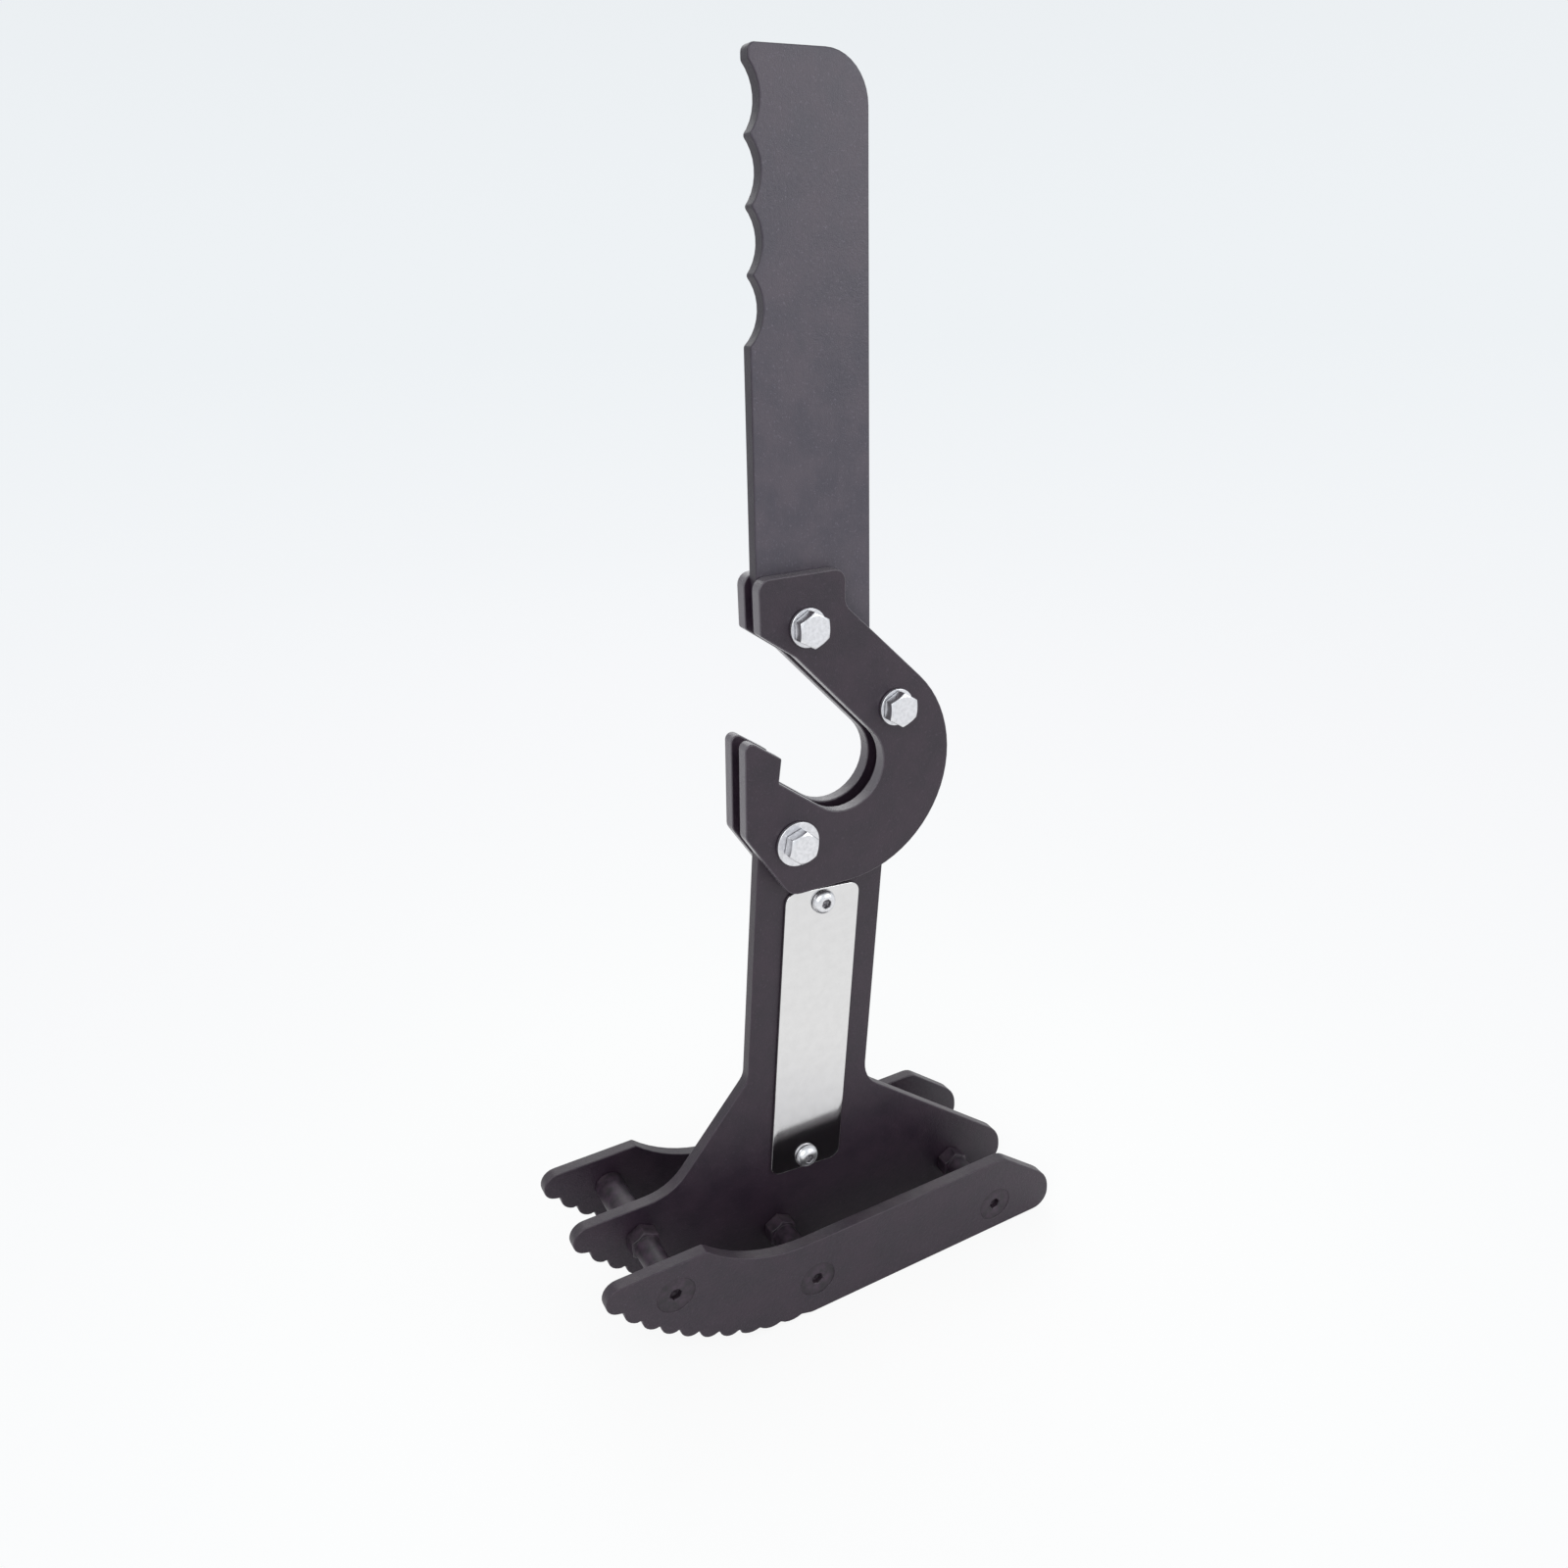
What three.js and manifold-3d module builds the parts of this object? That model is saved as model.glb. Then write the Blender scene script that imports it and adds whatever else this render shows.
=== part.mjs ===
// Deadlift jack: a rocking lever that rolls the loaded end of a barbell off the floor.
// Two toothed side plates and a centre plate of the same outline form the base. The centre plate
// runs up as a leaning column, and two C-shaped hook plates clamp its head and the handle plate.
// The floor is z = 0, the jack rolls in the XZ plane, and y runs across the plates, front to rear.
import * as THREE from 'three';
import { mergeVertices } from 'three/addons/utils/BufferGeometryUtils.js';
import Module from 'manifold-3d';

const wasm = await Module();
wasm.setup();

// Stock, fits and fineness, in millimetres
const plateThickness = 6;
const clearance = 0.3;
const cutOverrun = 2;
const chordError = 0.06;
const filletShare = 0.98;

// Sole, nose and toothed rocker, shared by the three base plates
const soleLength = 142;
const noseHeight = 18;
const noseSlope = THREE.MathUtils.degToRad(38.3);
const noseUpperRadius = 16;
const noseLowerRadius = 8.5;
const rockerRadius = 106;
const rockerSweep = THREE.MathUtils.degToRad(59.7);
const tipWall = 4.2;
const tipRise = 9.1;
const tipCornerRadius = 7;
const tipLowerRadius = 6;
const tipDrop = 11.9;
const tipSpread = 3.3;
const crestRelief = 0.3;
const spreadFrom = THREE.MathUtils.degToRad(25);
const toothPitch = 11.2;
const toothDepths = [2.6, 3, 3.3, 3.6, 3.7, 3.7, 3.4, 1.7, 1.6, 1.3];
const toothNotchRadius = 1;
const soleLead = 1.7;
const soleLeadRadius = 6;

// Side plates of the base
const sideHeight = 41.3;
const sideShoulderRadius = 9;
const sideSweepRadius = 72;
const sideSweepLead = 1.1;
const sideKinkRadius = 1.5;

// Column of the centre plate
const columnWidth = 64.1;
const columnLean = THREE.MathUtils.degToRad(4.95);
const columnSetback = 16.1;
const columnHeadMargin = 4;
const flareHeight = 108.6;
const flareSlope = THREE.MathUtils.degToRad(49);
const flareUpperRadius = 9;
const flareLowerRadius = 25;
const shoulderRadius = 17;

// Hook plates, measured from the centre of the bar's throat
const throatHeight = 253.6;
const throatOffset = 4.5;
const throatRadius = 19.3;
const hookRadius = 51;
const hookShiftX = 2;
const hookShiftZ = -2.4;
const diagonalSlope = THREE.MathUtils.degToRad(44.4);
const mouthSlope = THREE.MathUtils.degToRad(35.6);
const kneeReach = 22.2;
const kneeZ = 52;
const tabReach = 38.1;
const tabShoulder = 0.9;
const tabHeight = 85.1;
const tabCornerRadius = 5;
const tabTipRadius = 1.5;
const tabNeckRadius = 7;
const heelReach = 31.8;
const heelRise = 10.6;
const heelLean = 1.6;
const lipReach = 46.6;
const lipLean = 1.4;
const lipCornerRadius = 4;
const lipTipRadius = 2.9;
const lipDepth = 21.4;
const lipChamferSlope = THREE.MathUtils.degToRad(57.5);
const hookFootRadius = 9;
const coreRecess = 4.5;

// Handle plate
const handleReach = 35.7;
const handleWidth = 52.1;
const handleTaper = THREE.MathUtils.degToRad(0.84);
const handleBackTaper = THREE.MathUtils.degToRad(0.2);
const handleRise = 262.9;
const handleTopRadius = 17.3;
const handleTopInnerRadius = 2.5;
const fingerCount = 4;
const fingerPitch = 22;
const fingerDepth = 4.2;
const fingerRelief = 1.5;
const fingerCuspRadius = 1.5;
const fingerTopLand = 5;

// Hook bolts, their washers and nuts
const boltDiameter = 8;
const boltLength = 30;
const boltHeadFlats = 13;
const boltHeadHeight = 5.3;
const boltTipChamfer = 1;
const hexRimShare = 0.95;
const hexRimSlope = THREE.MathUtils.degToRad(30);
const nutHeight = 6.5;
const washerThickness = 1.6;
const washerDiameter = 16;
const wideWasherDiameter = 20;
const upperBoltX = -17.4;
const upperBoltZ = 63.9;
const middleBoltX = 24.8;
const middleBoltZ = 22.9;
const lowerBoltX = -24.4;
const lowerBoltZ = -28.6;

// Cross members between the base plates, and their countersunk screws
const memberLength = 33;
const sleeveDiameter = 13.6;
const standoffDiameter = 11.6;
const standoffFlats = 13;
const standoffCollar = 7;
const crossScrewDiameter = 8;
const crossHeadDiameter = 17.6;
const crossHeadRim = 0.4;
const crossHeadSink = 0.2;
const crossSocketFlats = 5;
const crossSocketDepth = 2.6;
const crossTipChamfer = 1;
const shortScrewLength = 20;
const longScrewLength = 60;
const leftMemberInset = 31;
const leftMemberDrop = 16;
const centreMemberSetback = 5;
const centreMemberHeight = 18.7;
const rightMemberInset = 34.3;
const rightMemberHeight = 15;

// Bare name plate and its two button-head screws
const nameWidth = 37.5;
const nameThickness = 1.5;
const nameCornerRadius = 5;
const nameHeadroom = 3;
const nameFootHeight = 49.4;
const nameShift = 0.5;
const nameScrewInset = 6.45;
const nameScrewDiameter = 6;
const nameScrewLength = 8;
const nameHeadDiameter = 11.4;
const nameHeadHeight = 3.2;
const nameHeadFlat = 5;
const nameSocketFlats = 4;
const nameSocketDepth = 1.9;
const nameTipChamfer = 0.7;

// Places that follow from the sizes above
const rockerReach = rockerRadius * Math.sin(rockerSweep) + tipWall;
const baseLength = rockerReach + soleLength;
const tipX = -baseLength / 2;
const noseX = baseLength / 2;
const rollX = tipX + rockerReach;
const tipTop = rockerRadius * (1 - Math.cos(rockerSweep)) + tipRise;
const columnFootX = rollX + columnSetback;
const columnAxis = (z) => columnFootX + z * Math.tan(columnLean);
const throatX = columnAxis(throatHeight) + throatOffset;
const sidePlateY = plateThickness + memberLength + 2 * clearance;
const nameTop = throatHeight + hookShiftZ - hookRadius - nameHeadroom;
const nameLength = (nameTop - nameFootHeight) / Math.cos(columnLean);
const nameMiddleHeight = (nameTop + nameFootHeight) / 2;
const nameScrewSpacing = nameLength - 2 * nameScrewInset;
const hookPlateY = plateThickness + clearance;
const holeRadius = (diameter) => diameter / 2 + clearance;

// Outlines: lists of corners in x and z, counter-clockwise, each rounded to its own radius
function corner(x, z, radius = 0) {
  return { x, z, radius };
}

function arcSteps(radius, sweep) {
  const step = 2 * Math.acos(Math.max(0, 1 - chordError / radius));
  return Math.max(2, Math.ceil(Math.abs(sweep) / step));
}

function arc(centreX, centreZ, radius, from, to) {
  const steps = arcSteps(radius, to - from);
  const corners = [];
  for (let i = 0; i <= steps; i += 1) {
    const angle = from + ((to - from) * i) / steps;
    corners.push(corner(centreX + radius * Math.cos(angle), centreZ + radius * Math.sin(angle)));
  }
  return corners;
}

function crossing(start, angle, otherStart, otherAngle) {
  const dx = Math.cos(angle);
  const dz = Math.sin(angle);
  const otherX = Math.cos(otherAngle);
  const otherZ = Math.sin(otherAngle);
  const gapX = otherStart.x - start.x;
  const gapZ = otherStart.z - start.z;
  const along = (gapX * otherZ - gapZ * otherX) / (dx * otherZ - dz * otherX);
  return { x: start.x + along * dx, z: start.z + along * dz };
}

function turnAt(corners, i) {
  const count = corners.length;
  const before = corners[(i + count - 1) % count];
  const here = corners[i];
  const after = corners[(i + 1) % count];
  const inward = new THREE.Vector2(here.x - before.x, here.z - before.z);
  const outward = new THREE.Vector2(after.x - here.x, after.z - here.z);
  const lengthIn = inward.length();
  const lengthOut = outward.length();
  inward.normalize();
  outward.normalize();
  const turn = Math.atan2(inward.cross(outward), inward.dot(outward));
  return { inward, outward, lengthIn, lengthOut, turn };
}

// The same outline moved inwards by one distance, its fillets adjusted to stay parallel
function inset(corners, distance) {
  return corners.map((here, i) => {
    const { inward, outward, turn } = turnAt(corners, i);
    const normalX = -inward.y - outward.y;
    const normalZ = inward.x + outward.x;
    const scale = distance / (1 + inward.dot(outward));
    const change = turn > 0 ? -distance : distance;
    const radius = here.radius > 0 ? Math.max(0, here.radius + change) : 0;
    return corner(here.x + normalX * scale, here.z + normalZ * scale, radius);
  });
}

// Points of the outline with every corner rounded, each fillet limited by the edges it lies on
function roundedPoints(corners) {
  const turns = corners.map((here, i) => turnAt(corners, i));
  const wanted = corners.map((here, i) => here.radius * Math.tan(Math.abs(turns[i].turn) / 2));
  const count = corners.length;
  const points = [];
  corners.forEach((here, i) => {
    if (wanted[i] === 0) {
      points.push(new THREE.Vector2(here.x, here.z));
      return;
    }
    const { inward, outward, lengthIn, lengthOut, turn } = turns[i];
    const roomIn = (lengthIn * filletShare) / (wanted[i] + wanted[(i + count - 1) % count]);
    const roomOut = (lengthOut * filletShare) / (wanted[i] + wanted[(i + 1) % count]);
    const tangent = wanted[i] * Math.min(1, roomIn, roomOut);
    const radius = tangent / Math.tan(Math.abs(turn) / 2);
    const side = Math.sign(turn);
    const startX = here.x - inward.x * tangent;
    const startZ = here.z - inward.y * tangent;
    const centreX = startX - inward.y * radius * side;
    const centreZ = startZ + inward.x * radius * side;
    const from = Math.atan2(startZ - centreZ, startX - centreX);
    for (const point of arc(centreX, centreZ, radius, from, from + turn)) {
      points.push(new THREE.Vector2(point.x, point.z));
    }
  });
  return points;
}

// Solids: flat plates cut from an outline, turned parts about the y axis, and hexagons
function flatPlate(corners, holes = [], thickness = plateThickness) {
  const shape = new THREE.Shape(roundedPoints(corners));
  for (const hole of holes) {
    const radius = holeRadius(hole.diameter);
    const rim = arc(hole.x, hole.z, radius, 0, -2 * Math.PI);
    rim.pop();
    shape.holes.push(new THREE.Path(rim.map((point) => new THREE.Vector2(point.x, point.z))));
  }
  const geometry = new THREE.ExtrudeGeometry(shape, { depth: thickness, bevelEnabled: false });
  geometry.rotateX(Math.PI / 2);
  geometry.translate(0, thickness / 2, 0);
  return geometry;
}

function turned(profile) {
  const widest = Math.max(...profile.map(([radius]) => radius));
  const points = profile.map(([radius, y]) => new THREE.Vector2(radius, y));
  return new THREE.LatheGeometry(points, arcSteps(widest, 2 * Math.PI));
}

function hexagon(flats, from, to) {
  const radius = flats / Math.sqrt(3);
  const geometry = new THREE.CylinderGeometry(radius, radius, to - from, 6);
  geometry.translate(0, (from + to) / 2, 0);
  return geometry;
}

function solid(geometry) {
  const bare = geometry.clone();
  bare.deleteAttribute('normal');
  bare.deleteAttribute('uv');
  const merged = mergeVertices(bare);
  const mesh = new wasm.Mesh({
    numProp: 3,
    vertProperties: new Float32Array(merged.attributes.position.array),
    triVerts: new Uint32Array(merged.index.array),
  });
  return new wasm.Manifold(mesh);
}

function geometryOf(body) {
  const mesh = body.getMesh();
  const geometry = new THREE.BufferGeometry();
  geometry.setAttribute('position', new THREE.BufferAttribute(mesh.vertProperties, 3));
  geometry.setIndex(new THREE.BufferAttribute(mesh.triVerts, 1));
  geometry.computeVertexNormals();
  return geometry;
}

// The toothed rocker: rounded lobes from the tip down to the sole, then the flat sole and the nose.
// The crests stay just inside the rolling circle and leave it on a flatter line towards the tip
const toothStep = toothPitch / rockerRadius;

function crestAt(angle) {
  const share = Math.max(0, (angle - spreadFrom) / (rockerSweep - spreadFrom));
  return rockerRadius - crestRelief + tipSpread * share ** 2;
}

function rockerPoint(angle, radius, rounding = 0) {
  return corner(rollX - radius * Math.sin(angle), rockerRadius - radius * Math.cos(angle), rounding);
}

function lobeCorners(angle, depth) {
  const crest = crestAt(angle);
  const foot = crest - depth;
  const halfChord = foot * Math.sin(toothStep / 2);
  const rise = crest - foot * Math.cos(toothStep / 2);
  const radius = (halfChord ** 2 + rise ** 2) / (2 * rise);
  const half = Math.asin(halfChord / radius);
  const centre = rockerPoint(angle, crest - radius);
  const down = -Math.PI / 2 - angle;
  return arc(centre.x, centre.z, radius, down - half, down + half).slice(1, -1);
}

function rockerCorners() {
  const corners = [];
  toothDepths.forEach((depth, i) => {
    const angle = rockerSweep - i * toothStep;
    const notch = angle - toothStep / 2;
    if (notch * rockerRadius < soleLead) return;
    if (i > 0) corners.push(...lobeCorners(angle, Math.min(depth, toothDepths[i - 1])));
    corners.push(rockerPoint(notch, crestAt(notch) - depth, toothNotchRadius));
  });
  corners.push(corner(rollX + soleLead, 0, soleLeadRadius));
  corners.push(corner(noseX, 0, noseLowerRadius));
  corners.push(corner(noseX, noseHeight, noseUpperRadius));
  return corners;
}

const noseCorner = { x: noseX, z: noseHeight };
const tipCorners = [
  corner(tipX, tipTop, tipCornerRadius),
  corner(tipX, tipTop - tipDrop, tipLowerRadius),
];

// A side plate: level top, then a hollow sweep up to the raised tip
function sideCorners() {
  const shoulder = crossing(noseCorner, Math.PI - noseSlope, { x: 0, z: sideHeight }, 0);
  const sweepX = rollX + sideSweepLead;
  const sweepZ = sideHeight + sideSweepRadius;
  const sweepTurn = Math.acos(1 - (tipTop - sideHeight) / sideSweepRadius);
  const sweep = arc(sweepX, sweepZ, sideSweepRadius, -Math.PI / 2, -Math.PI / 2 - sweepTurn);
  sweep[sweep.length - 1].radius = sideKinkRadius;
  return [
    ...rockerCorners(),
    corner(shoulder.x, shoulder.z, sideShoulderRadius),
    ...sweep,
    ...tipCorners,
  ];
}

// The centre plate: the same foot, carried up from both ends into the leaning column
function columnCorners() {
  const halfWidth = columnWidth / 2 / Math.cos(columnLean);
  const headZ = throatHeight - throatRadius - coreRecess - columnHeadMargin;
  const rightFoot = { x: columnFootX + halfWidth, z: 0 };
  const upColumn = Math.PI / 2 - columnLean;
  const shoulder = crossing(noseCorner, Math.PI - noseSlope, rightFoot, upColumn);
  const waist = { x: columnAxis(flareHeight) - halfWidth, z: flareHeight };
  const flareFoot = crossing(waist, Math.PI + flareSlope, { x: tipX, z: tipTop }, 0);
  return [
    ...rockerCorners(),
    corner(shoulder.x, shoulder.z, shoulderRadius),
    corner(columnAxis(headZ) + halfWidth, headZ),
    corner(columnAxis(headZ) - halfWidth, headZ),
    corner(waist.x, waist.z, flareUpperRadius),
    corner(flareFoot.x, flareFoot.z, flareLowerRadius),
    ...tipCorners,
  ];
}

// The C-shaped hook, with the throat's centre as its origin
const diagonalAt = (x) => hookShiftZ + (hookRadius + (hookShiftX - x) * Math.sin(diagonalSlope))
  / Math.cos(diagonalSlope);
const mouthTopAt = (x) => kneeZ + (-kneeReach - x) * Math.tan(mouthSlope);
const mouthFootAt = (x) => heelRise + (heelLean - heelReach - x) * Math.tan(mouthSlope);

function hookCorners() {
  const kneeDistance = Math.hypot(kneeReach, kneeZ);
  const kneeTouch = Math.atan2(kneeZ, -kneeReach) - Math.acos(throatRadius / kneeDistance);
  const heelTouch = -Math.PI + Math.acos(throatRadius / heelReach);
  const footZ = hookShiftZ - hookRadius;
  const lipFootX = -lipReach - lipLean;
  const chamferRun = (-lipDepth - footZ) / Math.tan(lipChamferSlope);
  return [
    ...arc(hookShiftX, hookShiftZ, hookRadius, -Math.PI / 2, Math.PI / 2 - diagonalSlope),
    corner(tabShoulder, diagonalAt(tabShoulder), tabNeckRadius),
    corner(tabShoulder, tabHeight, tabCornerRadius),
    corner(-tabReach, tabHeight, tabCornerRadius),
    corner(-tabReach, mouthTopAt(-tabReach), tabTipRadius),
    corner(-kneeReach, kneeZ),
    ...arc(0, 0, throatRadius, kneeTouch, heelTouch),
    corner(-heelReach, 0),
    corner(heelLean - heelReach, heelRise),
    corner(-lipReach, mouthFootAt(-lipReach), lipTipRadius),
    corner(lipFootX, -lipDepth, lipCornerRadius),
    corner(lipFootX + chamferRun, footZ, hookFootRadius),
  ];
}

// The middle layer follows the hook's outline, set back all round, and is split by a seam through
// the throat's centre along the mouth: the handle's tongue lies above it, the column's head below
function coreHalf(side) {
  const reach = hookRadius + tabHeight;
  const block = new THREE.BoxGeometry(2 * reach, plateThickness + 2 * cutOverrun, reach);
  block.translate(0, 0, (side * (reach + clearance)) / 2);
  block.rotateY(mouthSlope);
  const core = solid(flatPlate(inset(hookCorners(), coreRecess)));
  return core.intersect(solid(block));
}

function bores(holes) {
  const half = plateThickness / 2 + cutOverrun;
  return holes.map(({ x, z, diameter }) => {
    const radius = holeRadius(diameter);
    const bore = turned([[0, -half], [radius, -half], [radius, half], [0, half]]);
    bore.translate(x, 0, z);
    return solid(bore);
  });
}

const hookBolts = [
  { place: 'upper', x: upperBoltX, z: upperBoltZ, washer: washerDiameter },
  { place: 'middle', x: middleBoltX, z: middleBoltZ, washer: washerDiameter },
  { place: 'lower', x: lowerBoltX, z: lowerBoltZ, washer: wideWasherDiameter },
];
const boltHoles = hookBolts.map(({ x, z }) => ({ x, z, diameter: boltDiameter }));

// The grip edge, top to bottom: finger scallops with rounded cusps between them, on an edge that
// leans inwards by the handle's taper above the hook plates
function gripCorners() {
  const radius = ((fingerPitch / 2) ** 2 + fingerDepth ** 2) / (2 * fingerDepth);
  const half = Math.asin(fingerPitch / 2 / radius);
  const last = Math.acos(1 - (fingerDepth + fingerRelief) / radius);
  const cuspX = fingerRelief - handleReach;
  const topZ = handleRise - fingerTopLand;
  const corners = [
    corner(cuspX, handleRise, handleTopInnerRadius),
    corner(cuspX, topZ, fingerCuspRadius),
  ];
  for (let i = 0; i < fingerCount; i += 1) {
    const middleZ = topZ - (i + 0.5) * fingerPitch;
    const end = i === fingerCount - 1 ? last : half;
    const scallop = arc(cuspX + fingerDepth - radius, middleZ, radius, half, -end);
    scallop[scallop.length - 1].radius = fingerCuspRadius;
    corners.push(...scallop.slice(1));
  }
  corners.push(corner(-handleReach, tabHeight));
  return corners.map(({ x, z, radius: rounding }) => (
    corner(x + (z - tabHeight) * Math.tan(handleTaper), z, rounding)
  ));
}

// The handle plate, with the throat's centre as its origin: a tapering blade with the grip, and
// the tongue that the hook plates clamp with the upper and middle bolts
function handlePlate() {
  const left = -handleReach;
  const right = handleWidth - handleReach;
  const topRight = right - (handleRise - tabHeight) * Math.tan(handleBackTaper);
  const blade = flatPlate([
    corner(left, mouthTopAt(left) + coreRecess / Math.cos(mouthSlope)),
    corner(right, diagonalAt(right) - coreRecess / Math.cos(diagonalSlope)),
    corner(topRight, handleRise, handleTopRadius),
    ...gripCorners(),
  ]);
  const whole = solid(blade).add(coreHalf(1));
  return geometryOf(bores(boltHoles.slice(0, 2)).reduce((body, bore) => body.subtract(bore), whole));
}

// Cross members stand at three places along the base
const members = [
  { place: 'left', x: tipX + leftMemberInset, z: tipTop - leftMemberDrop },
  { place: 'centre', x: rollX + centreMemberSetback, z: centreMemberHeight },
  { place: 'right', x: noseX - rightMemberInset, z: rightMemberHeight },
];

// The column plate, in the frame of the base: foot, column, head and shoulder in one plate
function columnPlate() {
  const nameHoles = nameScrewPlaces().map(({ x, z }) => ({ x, z, diameter: nameScrewDiameter }));
  const memberHoles = members.map(({ x, z }) => ({ x, z, diameter: crossScrewDiameter }));
  const foot = solid(flatPlate(columnCorners(), [...nameHoles, ...memberHoles]));
  const head = coreHalf(-1);
  const [lowerBore] = bores([boltHoles[2]]);
  const whole = foot.add(head.translate(throatX, 0, throatHeight));
  return geometryOf(whole.subtract(lowerBore.translate(throatX, 0, throatHeight)));
}

// Radii and depth of a countersunk head, made wider by the clearance where it is a hole
function countersink(extra) {
  const head = crossHeadDiameter / 2 + extra;
  const shank = crossScrewDiameter / 2 + extra;
  return { head, shank, coneEnd: crossHeadRim + head - shank };
}

// A countersunk screw along +y, its flat head face at y = 0
function crossScrew(length) {
  const { head, shank, coneEnd } = countersink(0);
  const body = turned([
    [0, 0],
    [head, 0],
    [head, crossHeadRim],
    [shank, coneEnd],
    [shank, length - crossTipChamfer],
    [shank - crossTipChamfer, length],
    [0, length],
  ]);
  const socket = hexagon(crossSocketFlats, -cutOverrun, crossSocketDepth);
  return geometryOf(solid(body).subtract(solid(socket)));
}

// A side plate with its holes countersunk from the outer face, on the side given as -1 or 1
function sidePlate(side) {
  const { head, shank, coneEnd } = countersink(clearance);
  const outer = -plateThickness / 2;
  const sink = turned([
    [0, outer - cutOverrun],
    [head, outer - cutOverrun],
    [head, outer + crossHeadSink + crossHeadRim],
    [shank, outer + crossHeadSink + coneEnd],
    [shank, plateThickness / 2 + cutOverrun],
    [0, plateThickness / 2 + cutOverrun],
  ]);
  if (side > 0) sink.rotateX(Math.PI);
  const plate = solid(flatPlate(sideCorners()));
  return geometryOf(members.reduce(
    (body, { x, z }) => body.subtract(solid(sink).translate(x, 0, z)),
    plate,
  ));
}

// A plain sleeve, and the standoff whose hexagonal collar bears on the centre plate
function sleeve() {
  const outer = sleeveDiameter / 2;
  const inner = holeRadius(crossScrewDiameter);
  return turned([[inner, 0], [outer, 0], [outer, memberLength], [inner, memberLength], [inner, 0]]);
}

function standoff() {
  const outer = standoffDiameter / 2;
  const inner = holeRadius(crossScrewDiameter);
  const barrel = turned([[0, -memberLength], [outer, -memberLength], [outer, 0], [0, 0]]);
  const bore = turned([
    [0, -memberLength - cutOverrun],
    [inner, -memberLength - cutOverrun],
    [inner, cutOverrun],
    [0, cutOverrun],
  ]);
  const rim = standoffFlats / 2;
  const corners = standoffFlats / Math.sqrt(3) + cutOverrun;
  const lathe = turned([
    [0, -standoffCollar],
    [rim, -standoffCollar],
    [corners, (corners - rim) * Math.tan(hexRimSlope) - standoffCollar],
    [corners, 0],
    [0, 0],
  ]);
  const collar = solid(hexagon(standoffFlats, -standoffCollar, 0)).intersect(solid(lathe));
  return geometryOf(solid(barrel).add(collar).subtract(solid(bore)));
}

// Hexagon bolt along +y with its bearing face at y = 0, a plain washer and a nut
function hexBolt() {
  const corners = boltHeadFlats / Math.sqrt(3) + cutOverrun;
  const rim = (boltHeadFlats / 2) * hexRimShare;
  const lathe = turned([
    [0, -boltHeadHeight],
    [rim, -boltHeadHeight],
    [corners, (corners - rim) * Math.tan(hexRimSlope) - boltHeadHeight],
    [corners, 0],
    [0, 0],
  ]);
  const head = solid(hexagon(boltHeadFlats, -boltHeadHeight, 0)).intersect(solid(lathe));
  const radius = boltDiameter / 2;
  const shank = turned([
    [0, -boltHeadHeight / 2],
    [radius, -boltHeadHeight / 2],
    [radius, boltLength - boltTipChamfer],
    [radius - boltTipChamfer, boltLength],
    [0, boltLength],
  ]);
  return geometryOf(head.add(solid(shank)));
}

function washer(diameter) {
  const inner = holeRadius(boltDiameter);
  const outer = diameter / 2;
  return turned([
    [inner, 0],
    [outer, 0],
    [outer, washerThickness],
    [inner, washerThickness],
    [inner, 0],
  ]);
}

function hexNut() {
  const corners = boltHeadFlats / Math.sqrt(3) + cutOverrun;
  const rim = (boltHeadFlats / 2) * hexRimShare;
  const rise = (corners - rim) * Math.tan(hexRimSlope);
  const inner = holeRadius(boltDiameter);
  const lathe = turned([
    [inner, 0],
    [rim, 0],
    [corners, rise],
    [corners, nutHeight - rise],
    [rim, nutHeight],
    [inner, nutHeight],
    [inner, 0],
  ]);
  return geometryOf(solid(hexagon(boltHeadFlats, 0, nutHeight)).intersect(solid(lathe)));
}

// The bare name plate lies on the column's front face, along the column's axis
const nameMiddleX = columnAxis(nameMiddleHeight) + nameShift;
const nameScrews = [
  { place: 'upper', along: nameScrewSpacing / 2 },
  { place: 'lower', along: -nameScrewSpacing / 2 },
];

function nameScrewPlaces() {
  return nameScrews.map(({ along }) => ({
    x: nameMiddleX + along * Math.sin(columnLean),
    z: nameMiddleHeight + along * Math.cos(columnLean),
  }));
}

function namePlate() {
  const halfWidth = nameWidth / 2;
  const halfLength = nameLength / 2;
  const holes = nameScrews.map(({ along }) => ({ x: 0, z: along, diameter: nameScrewDiameter }));
  return flatPlate([
    corner(-halfWidth, -halfLength, nameCornerRadius),
    corner(halfWidth, -halfLength, nameCornerRadius),
    corner(halfWidth, halfLength, nameCornerRadius),
    corner(-halfWidth, halfLength, nameCornerRadius),
  ], holes, nameThickness);
}

// A button-head screw along +y with its bearing face at y = 0
function buttonScrew() {
  const edge = nameHeadDiameter / 2;
  const flat = nameHeadFlat / 2;
  const radius = (nameHeadHeight ** 2 + (edge - flat) ** 2) / (2 * nameHeadHeight);
  const sweep = Math.asin(Math.min(1, (edge - flat) / radius));
  const steps = arcSteps(radius, sweep);
  const profile = [[0, -nameHeadHeight]];
  for (let i = 0; i <= steps; i += 1) {
    const angle = (sweep * i) / steps;
    const rise = radius * (1 - Math.cos(angle));
    profile.push([flat + radius * Math.sin(angle), rise - nameHeadHeight]);
  }
  const shank = nameScrewDiameter / 2;
  profile.push(
    [shank, 0],
    [shank, nameScrewLength - nameTipChamfer],
    [shank - nameTipChamfer, nameScrewLength],
    [0, nameScrewLength],
  );
  const socketFloor = nameSocketDepth - nameHeadHeight;
  const socket = hexagon(nameSocketFlats, -nameHeadHeight - cutOverrun, socketFloor);
  return geometryOf(solid(turned(profile)).subtract(solid(socket)));
}

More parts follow.
